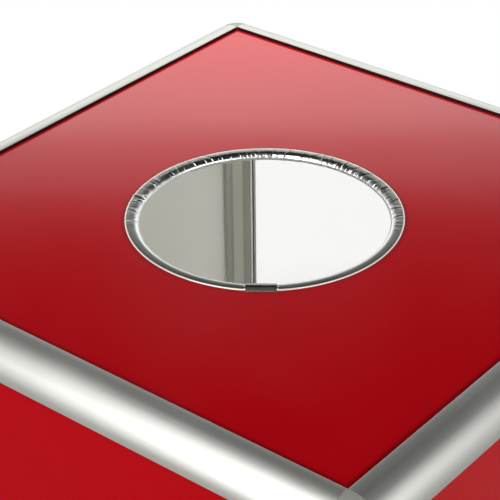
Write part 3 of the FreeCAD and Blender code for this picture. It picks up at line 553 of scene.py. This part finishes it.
def red_sheet(name, colours, shine, gloss, coat=0.0, painted_shade_widths=None, painted_brightness=1.0):
    """Gloss sheet with a faint orange peel, red outside and pale inside, with painted shade at the rails.
    The painted shade widths are those of a dark strip along the right and front rails and of a dark ring
    round the trim."""
    # The red is scaled by a painted brightness, which stands in for how much light falls on the wall
    full = shaded(colours.red, painted_brightness)
    material, tree, shader = new_material(
        name, full, Specular_IOR_Level=shine, Coat_Weight=coat, Coat_Roughness=gloss)
    place = place_on(tree)
    outside, towards_rail, towards_near = wall_places(tree, place)
    lips = middle_of("top_back_rail")[1] - BOX_MIDDLE[1] - RAIL_WIDTH / 2
    # Painted shade: darker in a strip along every rail, where the lips would shade the sheet
    shade = ramp(tree, towards_rail, lips - 1.5 * MM, lips - 0.5 * MM, 1.0, 0.0)
    # On the top, a wider painted shade strip along the right and front rails and a painted shade ring round
    # the trim
    if painted_shade_widths:
        strip, ring = painted_shade_widths
        near = ramp(tree, towards_near, lips - strip, lips - 0.25 * strip, 1.0, 0.0)
        beside = ramp(tree, trim_distance(tree), TRIM_RADIUS, TRIM_RADIUS + ring, 0.4, 1.0)
        shade = calculate(tree, "MINIMUM", shade, calculate(tree, "MINIMUM", near, beside))
    red = mixed(tree, shade, shaded(full, 0.3), full)
    set_input(shader, "Base Color", mixed(tree, outside, colours.inside, red))
    polish = ramp(tree, marks_on(tree, 14.0), 0.0, 1.0, gloss, gloss + 0.05)
    dull = ramp(tree, outside, 0.0, 1.0, 0.4, 0.0)
    set_input(shader, "Roughness", calculate(tree, "ADD", polish, dull))
    set_relief(shader, noise(tree, place, 240.0, 1.0), 0.004 * MM)
    return material


def clear_sheet(colours):
    """Polished clear acrylic. Lamps shine through it, so that it throws no dark shadow."""
    material, tree, shader = new_material("clear_acrylic", colours.clear, Transmission_Weight=1.0, IOR=1.49)
    set_input(shader, "Roughness", ramp(tree, marks_on(tree, 20.0), 0.0, 1.0, 0.0, 0.03))
    through = add_node(tree, "BsdfTransparent", {"Color": colours.clear})
    show_both(tree, either_ray(tree, "Shadow", "Diffuse"), shader, through)
    return material


def bright_strip(colours, radial):
    """Bright bent strip, darker on its flat, near white and less metallic along its rim as a painted
    highlight, and duller towards its joint, where it was bent by hand."""
    material, tree, shader = new_material("bright_strip", colours.chrome)
    reach = trim_distance(tree)
    flat = ramp(tree, reach, TRIM_RADIUS - 4.6 * MM, TRIM_RADIUS - 3.6 * MM)
    # Painted highlight: the rim is near white and less metallic
    rim = ramp(tree, reach, TRIM_RADIUS - 0.65 * MM, TRIM_RADIUS - 0.45 * MM)
    set_input(shader, "Metallic", ramp(tree, rim, 0.0, 1.0, 1.0, 0.25))
    body = mixed(tree, flat, colours.chrome, colours.flange)
    set_input(shader, "Base Color", mixed(tree, rim, body, colours.rim))
    apart = vector_math(tree, "SUBTRACT", place_on(tree), TRIM_MIDDLE)[0]
    opposite = vector_math(tree, "DOT_PRODUCT", apart, -radial / TRIM_RADIUS)[1]
    polish = ramp(tree, opposite, 0.5, 0.9, 0.28, 0.24)
    set_input(shader, "Roughness", calculate(tree, "MULTIPLY_ADD", marks_on(tree, 90.0), 0.06, polish))
    lines = use_group(tree, drawn_lines, Vector=place_on(tree, "UV"), Lines=5000.0, Stretch=0.02)
    set_relief(shader, lines["Height"], 0.002 * MM)
    return material


def brushed_metal(name, base, order, roughness, lines=4000.0, coordinates="Object", painted_shade_band=None):
    """Plated steel, brushed along the middle axis of an order such as "XZY". A band between two
    distances from the axis of the hand hole is painted dark: painted shade."""
    material, tree, shader = new_material(name, base, Metallic=1.0)
    parts = parts_of(tree, place_on(tree, coordinates))
    inputs = {slot: parts["XYZ".index(letter)] for slot, letter in enumerate(order)}
    place = add_node(tree, "CombineXYZ", inputs).outputs[0]
    brushed = use_group(tree, drawn_lines, Vector=place, Lines=lines, Stretch=0.03)
    shade = mixed(tree, marks_on(tree, 120.0), base, shaded(base, 0.8))
    # Painted shade: the band is darkened to a quarter of the base colour
    if painted_shade_band:
        start, end = (around(edge, 0.15 * MM) for edge in painted_shade_band)
        shade = mixed(tree, band(tree, trim_distance(tree), start, end), shade, shaded(base, 0.25))
    set_input(shader, "Base Color", shade)
    set_input(shader, "Roughness", ramp(tree, brushed["Mask"], 0.0, 1.0, *around(roughness, 0.05)))
    set_relief(shader, brushed["Height"], 0.008 * MM, edge=0.15 * MM)
    return material


def polished_lock(colours):
    """Bright plating of the lock."""
    material, tree, shader = new_material("lock_plating", colours.chrome, Metallic=1.0)
    marks = marks_on(tree, 150.0)
    set_input(shader, "Roughness", ramp(tree, marks, 0.0, 1.0, 0.10, 0.2))
    set_relief(shader, marks, 0.002 * MM, edge=0.25 * MM)
    return material


def foot_rubber(colours):
    """Matt black rubber with a fine grain and a little dust."""
    material, tree, shader = new_material("foot_rubber", colours.rubber, Roughness=0.75)
    dusty = tuple(value + 0.05 for value in colours.rubber)
    set_input(shader, "Base Color", mixed(tree, marks_on(tree, 130.0), colours.rubber, dusty))
    grain = use_group(tree, moulded_grain, Vector=place_on(tree), Scale=1800.0)["Height"]
    set_relief(shader, grain, 0.04 * MM)
    return material


# Pieces

class RAFFLEBOX_OT_rails(bpy.types.Operator):
    """Build the twelve drawn edge rails between the corners"""
    bl_idname = "rafflebox.rails"
    bl_label = "Edge rails"

    def execute(self, context):
        sizes = context.scene.rafflebox_sizes
        colours = context.scene.rafflebox_colours
        outline, hollow = self.profile(sizes), self.chamber(sizes)
        perimeter = float(distances(outline, True)[-1])
        # Each kind of rail gets its own painted shade colour on its lip edges
        for ending, seam in (("rail", colours.seam), ("post", colours.post_lip_edge_shade)):
            material = anodised_aluminium(f"anodised_{ending}", colours, sizes, perimeter, seam)
            for node in RAILS:
                if node.endswith(ending):
                    self.build(node, outline, hollow, material)
        return {"FINISHED"}

    def profile(self, sizes):
        """The outline of a rail: how far each point lies from the two outer faces that meet in it."""
        width, far = sizes.rail_width, sizes.lip + sizes.slot
        low, inner = width - sizes.slot_depth, far + sizes.inner_lip
        leg = [(width, 0), (width - sizes.undercut, sizes.lip), (low, sizes.lip), (low, far), (width, far),
               (width, inner), (inner + sizes.facet, inner)]
        corners = [(0, 0)] + leg + [(b, a) for a, b in reversed(leg)]
        others = len(corners) - 1
        radii = [width - sizes.lip_flat] + [sizes.edge_round] * others
        return rounded(corners, radii, [30] + [4] * others)

    def chamber(self, sizes):
        """The hollow in the corner of a rail: an arc inside the round, closed by three straight walls."""
        round_ = sizes.rail_width - sizes.lip_flat
        radius = round_ - sizes.rail_wall
        reach = sizes.rail_width - sizes.slot_depth - sizes.rail_wall
        inner = sizes.lip + sizes.slot + sizes.inner_lip
        high = min(2 * inner + sizes.facet - sizes.rail_wall * math.sqrt(2) - reach,
                   reach - sizes.chamber_bevel)
        tip = math.degrees(math.asin((round_ - reach) / radius))
        bend = arc((round_, round_), radius, radius, 180 + tip, 270 - tip, 12)
        return np.concatenate((bend, [(reach, high), (high, reach)]))

    def build(self, node, outline, hollow, material):
        low, high = box_of(node)
        along = int(np.argmax(high - low))
        side = np.sign((low + high) / 2 - BOX_MIDDLE)
        edge = np.where(side > 0, high, low)
        across, up = (-side[axis] * np.eye(3)[axis] for axis in range(3) if axis != along)
        path = np.cross(across, up)
        ends = (low, high) if path[along] > 0 else (high, low)
        origins = [edge * (1 - abs(path)) + end * abs(path) for end in ends]
        shape = Shape()
        outer = shape.grid(carried(outline, origins, across, up), close_columns=True)
        inner = shape.grid(carried(hollow[::-1], origins, across, up), close_columns=True)
        shape.cap([outer[0], inner[0]], -path)
        shape.cap([outer[1], inner[1]], path)
        new_piece(f"{node}_profile", shape, material, node)


class RAFFLEBOX_OT_corners(bpy.types.Operator):
    """Finish the eight moulded ball corners"""
    bl_idname = "rafflebox.corners"
    bl_label = "Ball corners"

    def execute(self, context):
        finish_nodes(CORNERS, corner_plastic(context.scene.rafflebox_colours))
        return {"FINISHED"}


class RAFFLEBOX_OT_walls(bpy.types.Operator):
    """Finish the glossy top and the four other red walls"""
    bl_idname = "rafflebox.walls"
    bl_label = "Red walls"

    def execute(self, context):
        colours = context.scene.rafflebox_colours
        # The top gets painted shade: wide along the right and front rails, and in a ring round the trim
        top = red_sheet("red_top_sheet", colours, 0.5, 0.14, coat=0.2, painted_shade_widths=(3.6 * MM, 2.2 * MM))
        finish_nodes(["top_panel"], top)
        finish_nodes(WALLS, red_sheet("red_wall_sheet", colours, 0.06, 0.16))
        # Painted light: the right wall's red is 15% lighter, for the light that falls on that side
        finish_nodes(["right_panel"], red_sheet("red_side_sheet_painted_light", colours, 0.16, 0.2, painted_brightness=1.15))
        return {"FINISHED"}


def towards_joint(sizes):
    """The direction from the middle of the hand hole to the joint of the trim."""
    return np.array([math.cos(sizes.joint_angle), math.sin(sizes.joint_angle), 0])


class RAFFLEBOX_OT_trim(bpy.types.Operator):
    """Build the bright strip round the hand hole, creased where it was bent"""
    bl_idname = "rafflebox.trim"
    bl_label = "Hand hole trim"

    STATIONS = 360
    STRETCH = 1.1 * MM
    SEED = 11
    # How the creases' widths and depths vary, the share that sinks, the section's lean, its most rise
    WIDTH_SPREAD = 0.3
    DEPTH_SPREAD = 0.55
    SINKING = 0.7
    LEAN = 0.035
    HIGHEST = 0.3 * MM
    # The burrs' distances from the axis with their rise over the strip, gap to the clip, and depth
    BURR_PLACES = ((57.2 * MM, 0.05 * MM), (59.5 * MM, -0.1 * MM))
    BURR_GAP = 0.45 * MM
    BURR_ROOT = 0.3 * MM

    def execute(self, context):
        sizes = context.scene.rafflebox_sizes
        profile = self.section(sizes)
        normals = right_of(np.concatenate((profile[-1:], profile, profile[:1])))[1:-1]
        across = (profile[:, 0] - profile[:, 0].min()) / np.ptp(profile[:, 0])
        turn, lean, height = self.creased(sizes, across)
        height[:, self.gripping(sizes, profile)] = 0
        radius, level = (profile[:, axis] + height * normals[:, axis] for axis in (0, 1))
        angle = sizes.joint_angle + math.pi - turn[:, None] - lean[:, None] * across
        points = TRIM_MIDDLE + np.stack((radius * np.cos(angle), radius * np.sin(angle), level), axis=2)
        shape = Shape()
        numbers = shape.grid(points, close_columns=True)
        for row, side in ((0, 1), (-1, -1)):
            end = angle[row, 0]
            shape.cap([numbers[row]], side * (math.cos(end) * Y - math.sin(end) * X))
        self.burrs(sizes, shape)
        material = bright_strip(context.scene.rafflebox_colours, towards_joint(sizes))
        new_piece("creased_trim", shape, material, "hole_trim")
        return {"FINISHED"}

    def section(self, sizes):
        """The closed section of the strip as (radius, height): a long round nose between two flanges
        that slope down along their rims and roll over. The rounds are quarters of ellipses."""
        grip, nose = TRIM_RISE - sizes.trim_flange, sizes.trim_inner + sizes.trim_nose
        rim, drop = TRIM_RADIUS - sizes.trim_roll, 0.5 * sizes.trim_flange
        fall = sizes.trim_slope * math.tan(sizes.slope_angle)
        roll = arc((rim, TRIM_RISE - fall - drop), sizes.trim_roll, drop, 0, 90, 6)
        slope = [(rim - share * sizes.trim_slope, TRIM_RISE - (1 - share) * fall) for share in (0.5, 1)]
        bow = arc((sizes.trim_inner + sizes.nose_round, 0), sizes.nose_round, TRIM_RISE, 90, 180, 16)
        upper = np.concatenate(([(nose, grip), (TRIM_RADIUS, grip)], roll, slope, bow))
        lower = upper[-2::-1] * (1, -1)
        return refined(np.concatenate((upper, lower)), self.STRETCH)

    def gripping(self, sizes, profile):
        """The points of the section that lie in its slot, round the sheet."""
        slot = sizes.trim_inner + sizes.trim_nose - 0.01 * MM
        return (profile[:, 0] > slot) & (abs(profile[:, 1]) < TRIM_RISE - 0.95 * sizes.trim_flange)

    def creased(self, sizes, across):
        """Stations round the strip as angles from the point opposite its joint, how far the section
        leans at each, and its height over the plain section at each station and profile point.

        Creases lie at uneven steps, and are narrow bells, exp(-(x / width)^2), that fade out across
        the strip. Between two of them it swells or sinks a little. All fall off towards the joint.
        """
        random = np.random.default_rng(self.SEED)
        number = sizes.creases
        end = math.pi - sizes.trim_gap / sizes.trim_inner / 2
        places = ((np.arange(number) + random.uniform(-0.25, 1.25, number)) / number * 2 - 1) * end
        places.sort()
        strength = soft_step((np.cos(places) + 0.5) / 0.8)
        widths = sizes.crease_width * random.lognormal(0, self.WIDTH_SPREAD, number) / sizes.trim_inner
        depths = sizes.crease_depth * random.lognormal(0, self.DEPTH_SPREAD, number)
        depths *= random.choice([-1, 1], number, p=[self.SINKING, 1 - self.SINKING])
        fades = soft_step((random.uniform(0.2, 1.5, (number, 1)) + 0.4 - across) / 0.4)
        levels = sizes.buckle * random.uniform(-1, 1, number) * strength
        leans = random.normal(0, self.LEAN, number) * strength
        close = places[:, None] + widths[:, None] * np.linspace(-2.1, 2.1, 7)
        turn = np.concatenate((np.linspace(-end, end, self.STATIONS), close[strength > 0].ravel()))
        turn = np.unique(turn[abs(turn) <= end])
        bells = strength * depths * np.exp(-((turn[:, None] - places) / widths) ** 2)
        swell = np.interp(turn, places, levels)[:, None] * (1 - 0.6 * across)
        return turn, np.interp(turn, places, leans), np.minimum(bells @ fades + swell, self.HIGHEST)

    def burrs(self, sizes, shape):
        """Four small domes on the strip, where the clip's corners bite into it."""
        radial = towards_joint(sizes)
        beside = np.cross(Z, radial) * (sizes.clip_length / 2 + self.BURR_GAP)
        dome = np.concatenate(([(0, -self.BURR_ROOT)], arc((0, 0), sizes.burr, sizes.burr, 0, 90, 6)))
        for side in (-1, 1):
            for reach, rise in self.BURR_PLACES:
                middle = TRIM_MIDDLE + radial * reach + side * beside + (TRIM_RISE + rise) * Z
                shape.grid(turned(dome, middle, Z, 20), close_rows=True)


class RAFFLEBOX_OT_clip(bpy.types.Operator):
    """Build the small clip over the joint of the trim"""
    bl_idname = "rafflebox.clip"
    bl_label = "Trim clip"

    STATIONS = 9
    # Round of a hook's fold, top to the hook's end, flat beside the step, run of the step by its height
    FOLD = 0.35 * MM
    HOOK = 0.95 * MM
    CREST = 0.3 * MM
    SLOPE = 2.5

    def execute(self, context):
        sizes = context.scene.rafflebox_sizes
        colours = context.scene.rafflebox_colours
        radial = towards_joint(sizes)
        path = np.cross(radial, Z)
        offsets = sizes.clip_length * np.linspace(-0.5, 0.5, self.STATIONS)
        origins = TRIM_MIDDLE + offsets[:, None] * path
        shape = Shape()
        numbers = shape.grid(carried(self.section(sizes, radial), origins, radial, Z), close_columns=True)
        shape.cap([numbers[0]], -path)
        shape.cap([numbers[-1]], path)
        # The clip's step is painted dark: painted shade
        painted_shade_band = (sizes.clip_ridge, sizes.clip_ridge + self.SLOPE * sizes.clip_step)
        material = brushed_metal("dull_clip", colours.clip, "YXZ", 0.3, 3000.0, "UV", painted_shade_band)
        new_piece("bent_clip", shape, material, "trim_clip", bevel=0.08 * MM)
        return {"FINISHED"}

    def section(self, sizes, radial):
        """The clip's section as (radius, height): sheet bent round the trim's nose. Its upper outside
        runs from a hook's end up, over the flange, up a step and round a quarter of an ellipse. The
        lower half mirrors it, and the inside lies a wall inwards."""
        points = np.array([v.co for v in frame["nodes"]["trim_clip"].data.vertices]) - TRIM_MIDDLE
        reach, half = points @ radial, points[:, 2].max()
        near, far = reach.min(), reach.max()
        flange, crest = half - sizes.clip_step, sizes.clip_ridge - self.CREST
        fold = arc((far - self.FOLD, flange - self.FOLD), self.FOLD, self.FOLD, 0, 90, 5)
        share = np.linspace(0, 1, 7)
        rise = np.stack((sizes.clip_ridge + self.SLOPE * sizes.clip_step * (1 - share),
                         flange + sizes.clip_step * soft_step(share)), axis=1)
        bow = arc((crest, 0), crest - near, half, 90, 180, 16)
        upper = np.concatenate(([(far, half - self.HOOK)], fold, rise, bow))
        outside = np.concatenate((upper, upper[-2::-1] * (1, -1)))
        inside = outside - sizes.clip_wall * right_of(outside)
        return np.concatenate((outside, inside[::-1]))


class RAFFLEBOX_OT_clear_back(bpy.types.Operator):
    """Finish the clear back panel, the door leaf and its stops"""
    bl_idname = "rafflebox.clear_back"
    bl_label = "Clear back and door"

    def execute(self, context):
        finish_nodes(CLEAR_SHEETS, clear_sheet(context.scene.rafflebox_colours))
        return {"FINISHED"}


class RAFFLEBOX_OT_hinges(bpy.types.Operator):
    """Finish the hinges and nuts, and build the screws with their crosses"""
    bl_idname = "rafflebox.hinges"
    bl_label = "Hinges and screws"

    # The straight edge of a screw's head, the bevel of its tip, and the soft edge of its cross
    HEAD_EDGE = 0.12 * MM
    TIP = 0.2 * MM
    SOFT = 0.14 * MM

    def execute(self, context):
        sizes = context.scene.rafflebox_sizes
        zinc = brushed_metal("zinc_plating", context.scene.rafflebox_colours.zinc, "XZY", 0.32)
        finish_nodes(HINGES, zinc)
        for node in HINGE_SCREWS:
            self.screws(sizes, node, zinc)
        return {"FINISHED"}

    def screws(self, sizes, node, material):
        """Four countersunk screws: a turned profile whose head sinks by a cross-shaped recess."""
        low, high = box_of(node)
        length = high[1] - low[1]
        head, shank = sizes.screw_head, sizes.screw_shank
        inside = np.linspace(head - self.HEAD_EDGE, 0, 26)
        side = [(0, -length), (shank - self.TIP, -length), (shank, self.TIP - length), (shank, shank - head),
                (head, -self.HEAD_EDGE)]
        profile = np.concatenate((side, np.stack((inside, 0 * inside), axis=1)))
        shape = Shape()
        for leaf in ("lower", "upper"):
            for rise in (-sizes.screw_rise, sizes.screw_rise):
                top = np.array([(low[0] + high[0]) / 2, high[1], middle_of(f"{leaf}_hinge_pin")[2] + rise])
                points = turned(profile, top, Y, 72)
                points[:, len(side):, 1] -= self.recess(sizes, points[:, len(side):] - top)
                shape.grid(points, close_rows=True)
        new_piece(node.replace("screws", "cross_screws"), shape, material, node)

    def recess(self, sizes, points):
        """Depth of the cross: full where a point is near either arm's middle line and within its end."""
        x, z = (abs(points[..., axis]) for axis in (0, 2))
        beside = soft_step((sizes.recess_width - np.minimum(x, z)) / self.SOFT + 0.5)
        within = soft_step((sizes.recess_arm - np.maximum(x, z)) / (3 * self.SOFT))
        return sizes.recess_depth * beside * within


class RAFFLEBOX_OT_lock(bpy.types.Operator):
    """Finish the cam lock"""
    bl_idname = "rafflebox.lock"
    bl_label = "Cam lock"

    def execute(self, context):
        colours = context.scene.rafflebox_colours
        finish_nodes(LOCK_BRIGHT, polished_lock(colours))
        finish_nodes(LOCK_ZINC, brushed_metal("cam_zinc", colours.zinc, "XZY", 0.36))
        return {"FINISHED"}


class RAFFLEBOX_OT_feet(bpy.types.Operator):
    """Build the four rubber feet"""
    bl_idname = "rafflebox.feet"
    bl_label = "Rubber feet"

    # How much narrower a foot is at its sole, and the rounding of its upper edge
    TAPER = 1.0 * MM
    UPPER_ROUND = 0.2 * MM

    def execute(self, context):
        sizes = context.scene.rafflebox_sizes
        material = foot_rubber(context.scene.rafflebox_colours)
        for node in FEET:
            low, high = box_of(node)
            height, top = high[2] - low[2], (high[0] - low[0]) / 2
            corners = [(0, 0), (top - self.TAPER, 0), (top, height), (0, height)]
            profile = rounded(corners, [0, sizes.foot_round, self.UPPER_ROUND, 0], [0, 6, 2, 0])
            shape = Shape()
            middle = (low + high) / 2 * (X + Y) + low * Z
            shape.grid(turned(profile, middle, Z), close_rows=True)
            new_piece(f"{node}_rubber", shape, material, node)
        return {"FINISHED"}


class RAFFLEBOX_OT_stage(bpy.types.Operator):
    """Set up the camera, the lamps, the surroundings and the floor"""
    bl_idname = "rafflebox.stage"
    bl_label = "Studio"

    FLOOR = 6.0
    # Brightness, direction round the box, reach, height, tilt, width, length, and whether the lamp shows
    # in reflections, in metres and degrees
    LAMPS = {
        "key_lamp": (3.6, -9.3, 1.31, 1.07, 35, 0.78, 2.6, True),
        "strip_lamp": (5.4, 11.6, 1.402, 1.07, 35, 0.25, 2.6, True),
        "side_lamp": (2.24, 88, 1.43, 0.62, 18, 1.5, 1.2, True),
        "white_card": (0.43, 219.3, 0.3, 0.36, 0, 1.3, 0.2, True),
        "card_band": (0.77, 219.3, 0.298, 0.38, 0, 1.3, 0.08, True),
        "over_lamp": (9.45, 221.9, 0.264, 0.5, 90, 0.15, 0.15, False),
        "right_fill_lamp": (3.5, 145, 1.3, 0.22, 3, 1.0, 0.6, False),
        "left_fill_lamp": (3.7, 208, 1.3, 0.22, 3, 1.0, 0.6, False),
    }

    def execute(self, context):
        studio = context.scene.rafflebox_studio
        context.scene.view_settings.view_transform = "Standard"
        self.camera(context.scene, studio)
        self.floor(studio, context.scene.rafflebox_colours)
        self.surroundings(context.scene, studio)
        for name, values in self.LAMPS.items():
            self.lamp(name, *values)
        return {"FINISHED"}

    def camera(self, scene, studio):
        """The camera looks at the target from its distance, turned by its three angles."""
        azimuth, elevation, roll = studio.azimuth, studio.elevation, studio.roll
        level = math.cos(azimuth) * X + math.sin(azimuth) * Y
        back = math.sin(elevation) * Z - math.cos(elevation) * np.cross(Z, level)
        right = math.cos(roll) * level + math.sin(roll) * np.cross(level, back)
        camera = bpy.data.objects.new("camera", bpy.data.cameras.new("camera"))
        scene.collection.objects.link(camera)
        camera.data.lens = studio.lens
        camera.data.clip_start = 0.01
        turn = Matrix((right, np.cross(back, right), back)).transposed().to_4x4()
        place = np.array(studio.target) + studio.distance * back
        camera.matrix_world = Matrix.Translation(place) @ turn
        scene.camera = camera

    def lamp(self, name, brightness, azimuth, reach, height, tilt, width, length, glossy):
        """A soft rectangular lamp that faces the box, tilted down. A flat lamp of brightness L and
        area A gives pi L A watts."""
        light = bpy.data.lights.new(name, "AREA")
        light.shape = "RECTANGLE"
        light.size, light.size_y = width, length
        light.energy = math.pi * brightness * width * length
        lamp = bpy.data.objects.new(name, light)
        azimuth = math.radians(azimuth)
        lamp.location = (reach * math.sin(azimuth), -reach * math.cos(azimuth), height)
        lamp.rotation_euler = (math.radians(90 - tilt), 0, azimuth)
        lamp.visible_camera = False
        lamp.visible_transmission = False
        lamp.visible_glossy = glossy
        bpy.context.scene.collection.objects.link(lamp)

    def floor(self, studio, colours):
        """A floor that takes shadows near the box, and is white further out for the camera."""
        mesh = bpy.data.meshes.new("floor")
        rim = arc((0, 0), self.FLOOR, self.FLOOR, 0, 360, 96)[:-1]
        mesh.from_pydata([(x, y, 0) for x, y in rim], [], [range(len(rim))])
        floor = bpy.data.objects.new("floor", mesh)
        bpy.context.scene.collection.objects.link(floor)
        material, tree, shader = new_material(
            "pale_floor", colours.floor, Roughness=0.9, Specular_IOR_Level=0.1)
        distance = vector_math(tree, "LENGTH", place_on(tree))[1]
        far = ramp(tree, distance, studio.fade_start, studio.fade_end, kind="SMOOTHSTEP")
        direct = either_ray(tree, "Camera", "Transmission")
        set_input(shader, "Base Color", mixed(tree, direct, colours.floor_bounce, colours.floor))
        white = add_node(tree, "Emission", {"Strength": 1.0})
        show_both(tree, calculate(tree, "MULTIPLY", far, direct), shader, white)
        mesh.materials.append(material)

    def surroundings(self, scene, studio):
        """White for the camera and through the clear sheet. Light and reflections come from a bright
        horizon under a dark ceiling."""
        world = bpy.data.worlds.new("studio")
        scene.world = world
        world.use_nodes = True
        tree = world.node_tree
        elevation = calculate(tree, "ARCSINE", parts_of(tree, place_on(tree, "Generated"))[2])
        fade = (studio.horizon_top, studio.horizon_end)
        level = ramp(tree, elevation, *fade, studio.horizon, 0.0, "SMOOTHSTEP")
        strength = calculate(tree, "MAXIMUM", level, either_ray(tree, "Camera", "Transmission"))
        set_input(tree.nodes["Background"], "Color", (1.0, 1.0, 1.0))
        set_input(tree.nodes["Background"], "Strength", strength)


# The add-on

GROUPS = {"rafflebox_sizes": RaffleBoxSizes, "rafflebox_colours": RaffleBoxColours,
          "rafflebox_studio": RaffleBoxStudio}
OPERATORS = [RAFFLEBOX_OT_rails, RAFFLEBOX_OT_corners, RAFFLEBOX_OT_walls, RAFFLEBOX_OT_trim,
             RAFFLEBOX_OT_clip, RAFFLEBOX_OT_clear_back, RAFFLEBOX_OT_hinges, RAFFLEBOX_OT_lock,
             RAFFLEBOX_OT_feet, RAFFLEBOX_OT_stage]


class RAFFLEBOX_PT_panel(bpy.types.Panel):
    """Operators and values of the raffle box"""
    bl_label = "Raffle box"
    bl_space_type = "VIEW_3D"
    bl_region_type = "UI"
    bl_category = "Raffle box"

    def draw(self, context):
        for operator in OPERATORS:
            self.layout.operator(operator.bl_idname)
        for key, group in GROUPS.items():
            values = getattr(context.scene, key)
            column = self.layout.column()
            for name in group.__annotations__:
                column.prop(values, name)


def register():
    for item in (*GROUPS.values(), *OPERATORS, RAFFLEBOX_PT_panel):
        bpy.utils.register_class(item)
    for key, group in GROUPS.items():
        setattr(bpy.types.Scene, key, bpy.props.PointerProperty(type=group))


def unregister():
    for key in GROUPS:
        delattr(bpy.types.Scene, key)
    for item in (RAFFLEBOX_PT_panel, *reversed(OPERATORS), *reversed(GROUPS.values())):
        bpy.utils.unregister_class(item)


def main():
    register()
    for operator in OPERATORS:
        family, name = operator.bl_idname.split(".")
        getattr(getattr(bpy.ops, family), name)()


if __name__ == "__main__":
    main()
